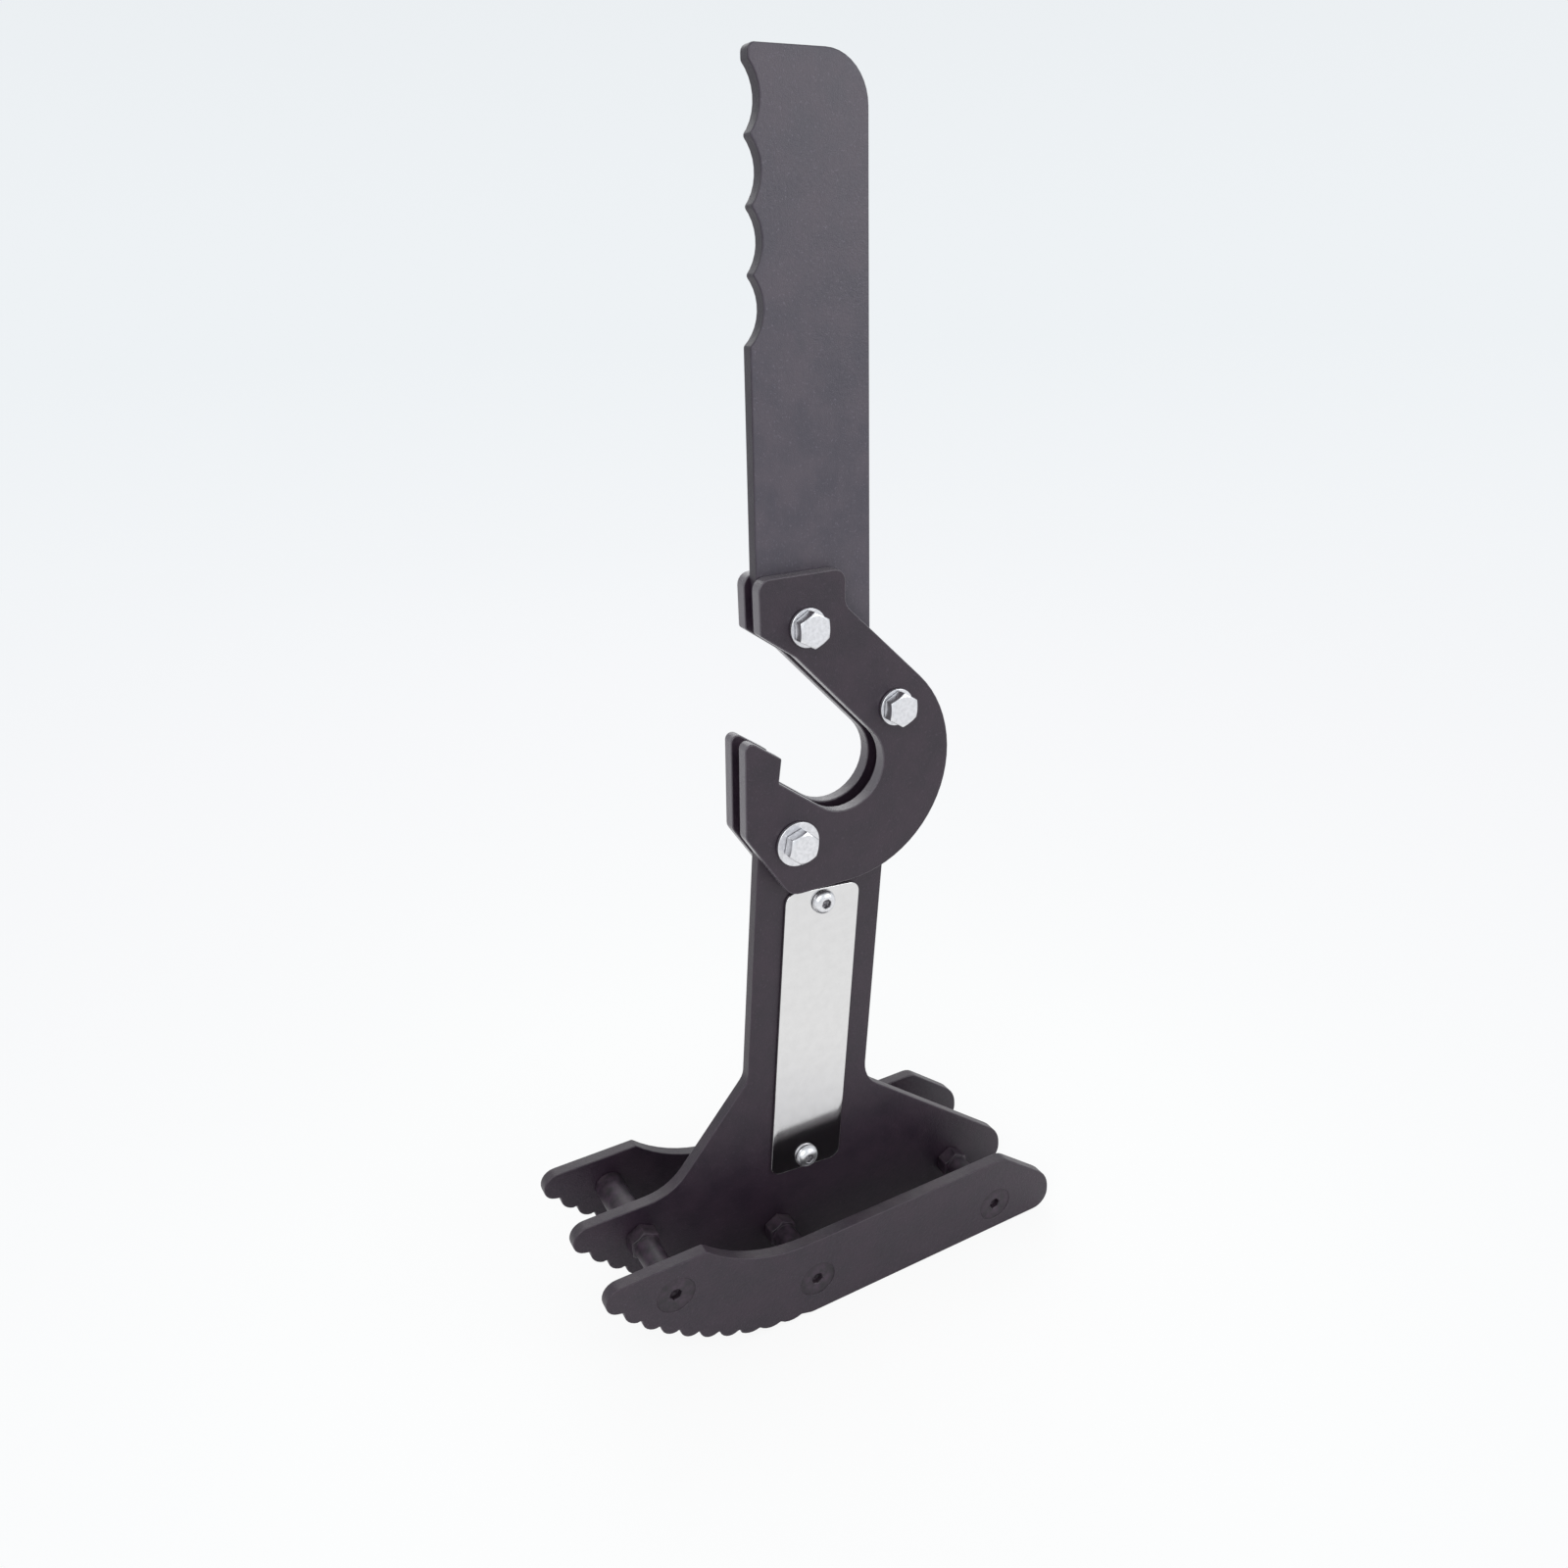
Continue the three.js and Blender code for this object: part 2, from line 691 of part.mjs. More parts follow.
// Finishes
const finishes = {
  powder: { color: 0x444046, roughness: 0.55, metalness: 0.1 },
  handle: { color: 0x5b5860, roughness: 0.5, metalness: 0.1 },
  zinc: { color: 0xd4d5d8, roughness: 0.3, metalness: 0.9 },
  steel: { color: 0xd9dadc, roughness: 0.25, metalness: 1 },
  blackOxide: { color: 0x2c2a2d, roughness: 0.45, metalness: 0.6 },
};

function piece(name, geometry, finish, x = 0, y = 0, z = 0) {
  const mesh = new THREE.Mesh(geometry, new THREE.MeshStandardMaterial(finishes[finish]));
  mesh.name = name;
  mesh.position.set(x, y, z);
  return mesh;
}

// Base: the two side plates, the centre plate and the three cross members between them
function baseGroup() {
  const base = new THREE.Group();
  base.add(piece('column_plate', columnPlate(), 'powder'));
  base.add(piece('base_plate_front', sidePlate(-1), 'powder', 0, -sidePlateY));
  base.add(piece('base_plate_rear', sidePlate(1), 'powder', 0, sidePlateY));
  const innerFace = plateThickness / 2 + clearance;
  const outerFace = sidePlateY + plateThickness / 2 - crossHeadSink;
  for (const { place, x, z } of members) {
    const shortScrew = crossScrew(shortScrewLength);
    const longScrew = crossScrew(longScrewLength);
    base.add(piece(`standoff_${place}`, standoff(), 'blackOxide', x, -innerFace, z));
    base.add(piece(`sleeve_${place}`, sleeve(), 'blackOxide', x, innerFace, z));
    base.add(piece(`front_screw_${place}`, shortScrew, 'blackOxide', x, -outerFace, z));
    const rearScrew = piece(`rear_screw_${place}`, longScrew, 'blackOxide', x, outerFace, z);
    rearScrew.rotation.x = Math.PI;
    base.add(rearScrew);
  }
  return base;
}

// Name plate group, turned to the column's lean
function nameGroup() {
  const group = new THREE.Group();
  const backFace = -plateThickness / 2 - clearance;
  group.add(piece('name_plate', namePlate(), 'steel', 0, backFace - nameThickness / 2));
  const bearing = backFace - nameThickness - clearance;
  for (const { place, along } of nameScrews) {
    group.add(piece(`name_plate_screw_${place}`, buttonScrew(), 'zinc', 0, bearing, along));
  }
  group.position.set(nameMiddleX, 0, nameMiddleHeight);
  group.rotation.y = columnLean;
  return group;
}

// Hook and handle, placed by the throat's centre
function hookGroup() {
  const group = new THREE.Group();
  group.add(piece('handle_plate', handlePlate(), 'handle'));
  const hook = flatPlate(hookCorners(), boltHoles);
  group.add(piece('hook_plate_front', hook, 'powder', 0, -hookPlateY));
  group.add(piece('hook_plate_rear', hook.clone(), 'powder', 0, hookPlateY));
  const washerY = hookPlateY + plateThickness / 2 + clearance;
  const bearing = washerY + washerThickness + clearance;
  for (const { place, x, z, washer: diameter } of hookBolts) {
    const frontWasherY = -washerY - washerThickness;
    group.add(piece(`hook_bolt_${place}`, hexBolt(), 'zinc', x, -bearing, z));
    group.add(piece(`front_washer_${place}`, washer(diameter), 'zinc', x, frontWasherY, z));
    group.add(piece(`rear_washer_${place}`, washer(diameter), 'zinc', x, washerY, z));
    group.add(piece(`hook_nut_${place}`, hexNut(), 'zinc', x, bearing, z));
  }
  group.position.set(throatX, 0, throatHeight);
  return group;
}

const jack = new THREE.Group();
jack.add(baseGroup(), nameGroup(), hookGroup());

export default jack;
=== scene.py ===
"""Looks of the deadlift jack: eased plates, turned fasteners, coats and metals, and the stage.

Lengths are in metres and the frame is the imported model's: +Z up, y across the plates, with the
name plate on the -y side. Drawings of turned parts are in millimetres, with +y into the jack.
"""

import math

import bmesh
import bpy
import numpy as np
from bpy.props import FloatProperty, FloatVectorProperty, IntProperty, PointerProperty
from mathutils import Matrix, Vector


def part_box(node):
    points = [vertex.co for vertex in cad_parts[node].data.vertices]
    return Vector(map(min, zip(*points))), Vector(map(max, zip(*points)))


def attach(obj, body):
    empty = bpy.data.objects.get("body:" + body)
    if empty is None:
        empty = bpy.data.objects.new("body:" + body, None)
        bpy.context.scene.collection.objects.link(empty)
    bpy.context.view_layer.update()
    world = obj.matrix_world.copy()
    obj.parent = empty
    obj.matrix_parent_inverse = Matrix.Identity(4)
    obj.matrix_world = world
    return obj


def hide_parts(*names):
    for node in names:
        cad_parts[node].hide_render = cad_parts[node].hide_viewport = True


bl_info = {
    "name": "Deadlift jack looks",
    "version": (1, 0, 0),
    "blender": (4, 5, 0),
    "location": "3D View > Sidebar > Jack",
    "description": "Dresses the packed deadlift jack in its coats, metals and fasteners",
    "category": "Object",
}

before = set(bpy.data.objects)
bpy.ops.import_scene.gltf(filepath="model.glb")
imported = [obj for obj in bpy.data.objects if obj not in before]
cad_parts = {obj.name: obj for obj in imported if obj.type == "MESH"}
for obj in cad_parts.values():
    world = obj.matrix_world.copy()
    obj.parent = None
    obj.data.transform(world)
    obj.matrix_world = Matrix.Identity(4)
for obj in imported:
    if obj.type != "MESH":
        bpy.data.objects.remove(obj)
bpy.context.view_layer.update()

MM = 0.001
WELD = 1e-6
SHARP_CORNER = math.radians(25)
SHADED_SHARP = math.radians(35)
COLLINEAR = math.radians(0.05)
CHAMFER_START = 0.95
CHAMFER_SLOPE = math.tan(math.pi / 6)
BORE_ROOM = 0.3
MEMBERS = ("left", "centre", "right")
BOLTS = ("upper", "middle", "lower")
NAME_SCREWS = ("upper", "lower")


def linear(red, green, blue):
    """A colour given as it looks on screen, 0 to 255, in the linear values that shaders take."""
    shares = (red / 255, green / 255, blue / 255)
    return tuple(c / 12.92 if c <= 0.04045 else ((c + 0.055) / 1.055) ** 2.4 for c in shares)


def length_property(name, description, millimetres):
    return FloatProperty(
        name=name, description=description, default=millimetres * MM, min=0, unit="LENGTH",
        subtype="DISTANCE", precision=5,
    )


def colour_property(name, description, colour):
    return FloatVectorProperty(
        name=name, description=description, default=linear(*colour), min=0, max=1,
        subtype="COLOR",
    )


def share_property(name, description, default):
    return FloatProperty(
        name=name, description=description, default=default, min=0, max=1, subtype="FACTOR"
    )


class PlateSettings(bpy.types.PropertyGroup):
    """How the cut plates are eased."""

    rim: length_property("Rim", "Rounding of the coated plates' edges", 0.6)
    corner: length_property("Corner", "Rounding of the outline's sharp corners", 0.9)
    sheet_rim: length_property("Sheet rim", "Rounding of the name plate's edges", 0.25)
    roll: length_property("Roll", "Width of the name plate's rolled border", 2.2)
    roll_drop: length_property("Roll drop", "How far the rolled border falls back", 0.07)
    # The edge shares set how much painted light the cut edges take: paler walls stand for lit
    # walls.
    hook_edge_light: share_property("Hook edge light", "How much paler the hook's cut edges are", 0.7)
    base_edge_light: share_property("Base edge light", "How much paler the base's cut edges are", 0.0)
    hole_ease: length_property("Hole ease", "Easing of the holes' edges", 0.3)
    sink_rim: length_property("Sink rim", "Straight depth of a countersink at the face", 0.6)
    sink_fit: length_property("Sink fit", "Coat that closes in on a countersunk head", 0.22)
    rim_steps: IntProperty(
        name="Rim steps", description="Faces across a rounded edge", default=4, min=1
    )
    corner_steps: IntProperty(
        name="Corner steps", description="Faces round a rounded corner", default=4, min=1
    )


class FastenerSettings(bpy.types.PropertyGroup):
    """Sizes of the fasteners that the plates are held by, in metres."""

    flats: length_property("Bolt flats", "Hook bolt's width across flats", 13)
    head: length_property("Bolt head", "Height of a hook bolt's head", 5.3)
    bolt: length_property("Bolt diameter", "Hook bolt's thread", 8)
    bolt_length: length_property("Bolt length", "Hook bolt's length under the head", 30)
    nut: length_property("Nut height", "Height of a hook bolt's nut", 6.5)
    washer: length_property("Washer", "Diameter of the smaller washers", 16)
    washer_bore: length_property("Washer bore", "Bore of the washers", 8.6)
    cross_head: length_property("Cross head", "Diameter of the countersunk heads", 17.6)
    cross: length_property("Cross screw", "Diameter of the screws across the base", 8)
    cross_socket: length_property("Cross socket", "Cross screw's socket across flats", 5)
    sleeve: length_property("Sleeve", "Diameter of the rear sleeves", 13.6)
    standoff: length_property("Standoff", "Diameter of the standoffs' barrels", 11.6)
    collar: length_property("Collar", "Standoff collar's width across flats", 13)
    collar_length: length_property("Collar length", "Length of a standoff's collar", 7)
    name_head: length_property("Name screw head", "Diameter of the button heads", 11.4)
    name_socket: length_property("Name socket", "Button head's socket across flats", 4)
    edge: length_property("Edge", "Easing of the fasteners' edges", 0.18)
    steps: IntProperty(
        name="Steps", description="Faces round a turned part, a multiple of 12", default=72, min=12
    )


class FinishSettings(bpy.types.PropertyGroup):
    """Colours and gloss of the coats and metals."""

    coat: colour_property("Coat", "Black powder coat", (39, 28, 40))
    handle: colour_property("Handle coat", "Smoother, greyer coat of the handle", (67, 62, 72))
    # Painted light: the paler colour that the hook plates' cut edges take, standing for light on
    # them.
    coat_edge_light: colour_property("Coat edge light", "Paler cut edges, as painted light", (106, 102, 108))
    handle_edge: colour_property("Handle edge", "Cut edge of the handle", (24, 10, 28))
    oxide: colour_property("Black oxide", "Screws and spacers of the base", (41, 30, 42))
    zinc: colour_property("Zinc", "Bright zinc plate", (235, 235, 238))
    steel: colour_property("Steel", "Polished sheet of the name plate", (225, 224, 224))
    coat_roughness: share_property("Coat roughness", "Roughness of the powder coat", 0.42)
    handle_roughness: share_property("Handle roughness", "Roughness of the handle", 0.4)
    grain: length_property("Grain", "Size of the powder coat's fine texture", 0.55)
    cloud: length_property("Cloud", "Size of the coats' faint cloudy patches", 14)


class StageSettings(bpy.types.PropertyGroup):
    """Camera, floor and lights."""

    place: FloatVectorProperty(
        name="Camera place", description="Where the camera stands",
        default=(-0.2249, -0.4064, 0.4440), subtype="TRANSLATION", unit="LENGTH",
    )
    yaw: FloatProperty(
        name="Yaw", description="Camera turned from +y towards +x", default=0.49563,
        unit="ROTATION",
    )
    pitch: FloatProperty(
        name="Pitch", description="Camera looking down", default=0.39996, unit="ROTATION"
    )
    roll: FloatProperty(
        name="Roll", description="Camera leaning", default=-0.02973, unit="ROTATION"
    )
    lens: FloatProperty(
        name="Lens", description="Focal length on 36 mm film", default=27.402, unit="CAMERA"
    )
    floor: colour_property("Floor", "Pale floor near the jack", (255, 255, 255))
    backdrop: colour_property("Backdrop", "Pale backdrop at the horizon", (238, 242, 245))
    floor_size: FloatProperty(
        name="Floor size", description="Radius of the floor", default=9.0, unit="LENGTH",
        subtype="DISTANCE",
    )
    sky: FloatProperty(
        name="Sky", description="Strength of the light from all round", default=0.65, min=0
    )


# Plates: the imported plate's outline with eased corners and a rounded rim


def unit(vectors):
    return vectors / np.linalg.norm(vectors, axis=1)[:, None]


def turns(loop):
    """Directions into and out of each point of a closed loop, and the turn between them."""
    into = unit(loop - np.roll(loop, 1, axis=0))
    out = unit(np.roll(loop, -1, axis=0) - loop)
    cross = into[:, 0] * out[:, 1] - into[:, 1] * out[:, 0]
    return into, out, np.arctan2(cross, (into * out).sum(axis=1))


def face_loops(node, rear=False):
    """Loops of (x, z) round a plate's flat face, the metal on their left seen from the front."""
    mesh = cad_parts[node].data
    places = np.array([v.co for v in mesh.vertices])
    keys = np.round(places / WELD).astype(int)
    low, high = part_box(node)
    face_y = high.y if rear else low.y
    edges = set()
    mesh.calc_loop_triangles()
    for triangle in mesh.loop_triangles:
        corners = list(triangle.vertices)
        if max(abs(places[i][1] - face_y) for i in corners) > WELD:
            continue
        names = [(keys[i][0], keys[i][2]) for i in corners]
        if rear:
            names.reverse()
        edges.update(zip(names, names[1:] + names[:1]))
    following = {a: b for a, b in edges if (b, a) not in edges}
    loops = []
    while following:
        point, after = following.popitem()
        loop = [point]
        while after != point:
            loop.append(after)
            after = following.pop(after)
        loop = np.array(loop) * WELD
        loops.append(loop[np.abs(turns(loop)[2]) > COLLINEAR])
    return loops


def area(loop):
    after = np.roll(loop, -1, axis=0)
    return float((loop[:, 0] * after[:, 1] - loop[:, 1] * after[:, 0]).sum()) / 2


def round_hole(loop):
    centre = (loop.min(axis=0) + loop.max(axis=0)) / 2
    return centre, float(np.linalg.norm(loop - centre, axis=1).max())


def plate_drawing(node):
    """A plate's outer loop, and the centre and front and rear radius of each hole in it."""
    loops = face_loops(node)
    outer = max(loops, key=area)
    rear_holes = [round_hole(loop) for loop in face_loops(node, rear=True) if area(loop) < 0]
    holes = []
    for loop in loops:
        if area(loop) < 0:
            centre, front = round_hole(loop)
            near = min(rear_holes, key=lambda hole: float(np.linalg.norm(hole[0] - centre)))
            holes.append((centre, front, near[1]))
    return outer, holes


def eased(loop, radius, steps):
    """The loop with each sharp corner turned into a small arc."""
    into, _, turn = turns(loop)
    before = np.linalg.norm(loop - np.roll(loop, 1, axis=0), axis=1)
    after = np.roll(before, -1)
    points = []
    for i, point in enumerate(loop):
        if abs(turn[i]) < SHARP_CORNER:
            points.append(point)
            continue
        half = math.tan(abs(turn[i]) / 2)
        tangent = min(radius * half, 0.45 * before[i], 0.45 * after[i])
        side = math.copysign(tangent / half, turn[i])
        start = point - into[i] * tangent
        centre = start + np.array((-into[i][1], into[i][0])) * side
        arm = start - centre
        for k in range(steps + 1):
            c, s = math.cos(turn[i] * k / steps), math.sin(turn[i] * k / steps)
            points.append(centre + np.array((arm[0] * c - arm[1] * s, arm[0] * s + arm[1] * c)))
    return np.array(points)


def moved_in(loop, distance):
    into, out, _ = turns(loop)
    inward = np.stack((-into[:, 1] - out[:, 1], into[:, 0] + out[:, 0]), axis=1)
    return loop + inward * distance / (1 + (into * out).sum(axis=1))[:, None]


def bridge(bm, rings):
    """Quads between each ring of points and the next."""
    count = len(rings[0])
    for a, b in zip(rings, rings[1:]):
        for i in range(count):
            j = (i + 1) % count
            bm.faces.new((a[i], a[j], b[j], b[i]))


def ring_edges(bm, ring):
    return [bm.edges.get((ring[i - 1], ring[i])) for i in range(len(ring))]


def rim_profile(front, rear, rim, steps):
    """Insets, y places, rim masks and wall shares from the front face round to the rear face."""
    half = [
        (rim * (1 - math.cos(a)), rim * (1 - math.sin(a)), math.sin(2 * a), math.cos(a))
        for a in (math.pi / 2 * k / steps for k in range(steps + 1))
    ]
    to_wall = [(inset, front + depth, *shares) for inset, depth, *shares in reversed(half)]
    return to_wall + [(inset, rear - depth, *shares) for inset, depth, *shares in half]


def rolled(profile, roll, drop, steps):
    """The profile with its front rim set back, and a border that rolls down to it."""
    front_inset, face = profile[0][:2]
    border = [
        (front_inset + roll * (1 - k / steps), face + drop * (k / steps) ** 2, 0.0, 0.0)
        for k in range(steps)
    ]
    middle_of = len(profile) // 2
    rim = [(inset, y + drop, *shares) for inset, y, *shares in profile[:middle_of]]
    return border + rim + profile[middle_of:]


def hole_profile(front, rear, front_radius, rear_radius, ease, sink_rim, sink_fit):
    """Radii and y places down a hole, countersunk at 90 degrees from its wider end."""
    wide, narrow = max(front_radius, rear_radius), min(front_radius, rear_radius)
    straight = wide - narrow < ease
    if not straight:
        wide, ease = wide - sink_fit, ease / 2
    side = 1 if front_radius >= rear_radius else -1
    near, far = (front, rear) if side > 0 else (rear, front)
    profile = [(wide + ease, near), (wide, near + side * ease)]
    if not straight:
        profile.append((wide, near + side * sink_rim))
        profile.append((narrow, near + side * (sink_rim + wide - narrow)))
    profile += [(narrow, far - side * ease), (narrow + ease, far)]
    return profile if side > 0 else profile[::-1]


def plate_mesh(name, node, rim, edge, roll):
    """A plate drawn again from its packed outline, with rounded rims and eased holes."""
    plates = bpy.context.scene.jack_plates
    outer, holes = plate_drawing(node)
    low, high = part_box(node)
    outline = eased(outer, max(plates.corner, rim * 1.1), plates.corner_steps)
    bm = bmesh.new()
    rim_mask = bm.verts.layers.float.new("rim")
    wall_mask = bm.verts.layers.float.new("wall")
    profile = rim_profile(low.y, high.y, rim, plates.rim_steps)
    if roll:
        profile = rolled(profile, roll, plates.roll_drop, 2 * plates.rim_steps)
    rings = []
    for inset, y, rounding, wall in profile:
        ring = [bm.verts.new((x, y, z)) for x, z in moved_in(outline, inset)]
        for vert in ring:
            # The wall mask carries the edge share, which paints light on the hook plates' cut
            # edges.
            vert[rim_mask], vert[wall_mask] = rounding, wall * edge
        rings.append(ring)
    bridge(bm, rings)
    fronts, rears = ring_edges(bm, rings[0]), ring_edges(bm, rings[-1])
    steps = bpy.context.scene.jack_fasteners.steps
    for centre, front_radius, rear_radius in holes:
        profile = hole_profile(
            low.y, high.y, front_radius, rear_radius, min(plates.hole_ease, rim), plates.sink_rim,
            plates.sink_fit,
        )
        hole_rings = []
        for radius, y in profile:
            angles = [2 * math.pi * k / steps for k in range(steps)]
            hole_rings.append([
                bm.verts.new((
                    centre[0] + radius * math.cos(a), y, centre[1] + radius * math.sin(a)
                ))
                for a in angles
            ])
        bridge(bm, hole_rings)
        fronts += ring_edges(bm, hole_rings[0])
        rears += ring_edges(bm, hole_rings[-1])
    for edges in (fronts, rears):
        bmesh.ops.triangle_fill(bm, use_beauty=True, use_dissolve=False, edges=edges)
    return mesh_from(bm, name)


def mesh_from(bm, name):
    bmesh.ops.recalc_face_normals(bm, faces=bm.faces)
    for face in bm.faces:
        face.smooth = True
    for edge in bm.edges:
        edge.smooth = edge.calc_face_angle(0) < SHADED_SHARP
    mesh = bpy.data.meshes.new(name)
    bm.to_mesh(mesh)
    bm.free()
    return mesh


def new_object(name, mesh):
    piece = bpy.data.objects.new(name, mesh)
    bpy.context.scene.collection.objects.link(piece)
    return piece


def settle(piece):
    """The piece with its modifiers applied and its flat faces shaded flat up to their rims."""
    weigh = piece.modifiers.new("Flat faces", "WEIGHTED_NORMAL")
    weigh.keep_sharp = True
    graph = bpy.context.evaluated_depsgraph_get()
    settled = bpy.data.meshes.new_from_object(piece.evaluated_get(graph))
    piece.modifiers.clear()
    settled.name = piece.name
    piece.data = settled
    return piece


def join_frame(piece, finish, slot, *nodes):
    """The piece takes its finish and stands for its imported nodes."""
    piece.data.materials.clear()
    piece.data.materials.append(finish)
    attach(piece, "root")
    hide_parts(*nodes)
    return piece


def dress_plate(name, node, finish, slot, rim, edge=1.0, roll=0.0):
    piece = settle(new_object(name, plate_mesh(name, node, rim, edge, roll)))
    return join_frame(piece, finish, slot, node)


# Turned parts: rings round the y axis, each round or hexagonal, from one pole to the other


def round_at(radius):
    return lambda angle: radius


def hexagon_at(flats):
    """Radius of a hexagon of that width across flats, a corner on the z axis."""
    def radius(angle):
        from_flat = (angle - math.pi / 2) % (math.pi / 3) - math.pi / 6
        return flats / 2 / math.cos(from_flat)
    return radius


def face_circle(flats):
    return flats / 2 * CHAMFER_START


def chamfered(flats, face, inward):
    """A ring on a hexagon, lowered by a 30 degree chamfer that starts on its face's circle."""
    start, hexagon = face_circle(flats), hexagon_at(flats)
    return hexagon, lambda angle: face + inward * (hexagon(angle) - start) * CHAMFER_SLOPE


def turned_mesh(name, rings, closed=False):
    """A body of rings in millimetres: radius at an angle, y or y at an angle, and any painted
    shade.
    """
    steps = bpy.context.scene.jack_fasteners.steps
    bm = bmesh.new()
    # Painted shade: a ring's last value darkens sockets and seams, where shade falls.
    recess_shade_mask = bm.verts.layers.float.new("grime")
    angles = [2 * math.pi * k / steps for k in range(steps)]
    drawn = []
    for radius, y, *grime in rings:
        height = y if callable(y) else (lambda angle, y=y: y)
        ring = [
            bm.verts.new((radius(a) * math.cos(a), height(a), radius(a) * math.sin(a)))
            for a in angles
        ]
        for vert in ring:
            vert[recess_shade_mask] = grime[0] if grime else 0.0
        drawn.append(ring)
    bridge(bm, drawn + drawn[:1] if closed else drawn)
    if not closed:
        for ring in (drawn[0], drawn[-1]):
            bm.faces.new(ring)
    return mesh_from(bm, name)


def bolt_mesh():
    sizes = bpy.context.scene.jack_fasteners
    head, flats, radius = sizes.head / MM, sizes.flats / MM, sizes.bolt / MM / 2
    length = sizes.bolt_length / MM
    tip = 1.0
    hexagon, chamfer = chamfered(flats, -head, 1)
    face = face_circle(flats)
    dish, dish_depth = face * 0.62, 0.1
    return turned_mesh("hook_bolt_drawing", [
        (round_at(dish * 0.86), dish_depth - head),
        (round_at(dish), -head),
        (round_at(face), -head),
        (hexagon, chamfer),
        (hexagon, 0.0),
        (round_at(radius), 0.0),
        (round_at(radius), length - tip),
        (round_at(radius - tip), length),
    ])


def nut_mesh():
    sizes = bpy.context.scene.jack_fasteners
    flats, height = sizes.flats / MM, sizes.nut / MM
    bore, flare = sizes.bolt / MM / 2 + BORE_ROOM, 0.5
    hexagon, lower = chamfered(flats, 0.0, 1)
    _, upper = chamfered(flats, height, -1)
    face = face_circle(flats)
    return turned_mesh("hook_nut_drawing", [
        (round_at(bore + flare), 0.0),
        (round_at(face), 0.0),
        (hexagon, lower),
        (hexagon, upper),
        (round_at(face), height),
        (round_at(bore + flare), height),
        (round_at(bore), height - flare),
        (round_at(bore), flare),
    ], closed=True)


def washer_mesh(diameter, bore, thickness):
    return turned_mesh("washer_drawing", [
        (round_at(bore / 2), 0.0),
        (round_at(diameter / 2), 0.0),
        (round_at(diameter / 2), thickness),
        (round_at(bore / 2), thickness),
    ], closed=True)


def cross_screw_mesh(length):
    sizes = bpy.context.scene.jack_fasteners
    head, radius = sizes.cross_head / MM / 2, sizes.cross / MM / 2
    rim, tip, depth = 0.4, 1.0, 2.6
    socket = hexagon_at(sizes.cross_socket / MM)
    mouth = sizes.cross_socket / MM / 2 * 1.2
    # The third values are painted shade, light in the socket and deeper in the seam round the
    # head.
    return turned_mesh("cross_screw_drawing", [
        (round_at(mouth * 0.5), depth + 0.5, 0.3),
        (socket, depth, 0.3),
        (socket, 0.35, 0.2),
        (round_at(mouth), 0.0),
        (round_at(head * 0.58), 0.0),
        (round_at(head), 0.0, 0.42),
        (round_at(head), rim, 0.6),
        (round_at(radius), rim + head - radius),
        (round_at(radius), length - tip),
        (round_at(radius - tip), length),
    ])


def sleeve_mesh(length):
    sizes = bpy.context.scene.jack_fasteners
    outer, inner = sizes.sleeve / MM / 2, sizes.cross / MM / 2 + BORE_ROOM
    return turned_mesh("sleeve_drawing", [
        (round_at(inner), 0.0),
        (round_at(outer), 0.0),
        (round_at(outer), length),
        (round_at(inner), length),
    ], closed=True)


def standoff_mesh(length):
    sizes = bpy.context.scene.jack_fasteners
    outer, inner = sizes.standoff / MM / 2, sizes.cross / MM / 2 + BORE_ROOM
    flats, collar = sizes.collar / MM, sizes.collar_length / MM
    hexagon, chamfer = chamfered(flats, -collar, 1)
    return turned_mesh("standoff_drawing", [
        (round_at(inner), -length),
        (round_at(outer), -length),
        (round_at(outer), -collar),
        (round_at(face_circle(flats)), -collar),
        (hexagon, chamfer),
        (hexagon, 0.0),
        (round_at(inner), 0.0),
    ], closed=True)


def button_screw_mesh(height, length):
    sizes = bpy.context.scene.jack_fasteners
    edge, flat, shank = sizes.name_head / MM / 2, sizes.name_socket / MM * 0.62, 3.0
    depth, tip = 1.9, 0.7
    socket = hexagon_at(sizes.name_socket / MM)
    mouth = sizes.name_socket / MM / 2 * 1.17
    radius = (height ** 2 + (edge - flat) ** 2) / (2 * height)
    sweep = math.asin(min(1.0, (edge - flat) / radius))
    dome_steps = 8
    # The dome's third values are painted shade, darker towards the edge where it meets the plate.
    dome = [
        (
            round_at(flat + radius * math.sin(sweep * k / dome_steps)),
            radius * (1 - math.cos(sweep * k / dome_steps)) - height,
            0.7 * (k / dome_steps) ** 6,
        )
        for k in range(dome_steps + 1)
    ]
    # The socket's rings carry painted shade, darkest deep inside.
    return turned_mesh("button_screw_drawing", [
        (round_at(mouth * 0.45), depth + 0.3 - height, 1.0),
        (socket, depth - height, 1.0),
        (socket, 0.15 - height, 0.9),
        (round_at(mouth), -height, 0.5),
        *dome,
        (round_at(shank), 0.0),
        (round_at(shank), length - tip),
        (round_at(shank - tip), length),
    ])


# Geometry Nodes: one drawing put in all of its places


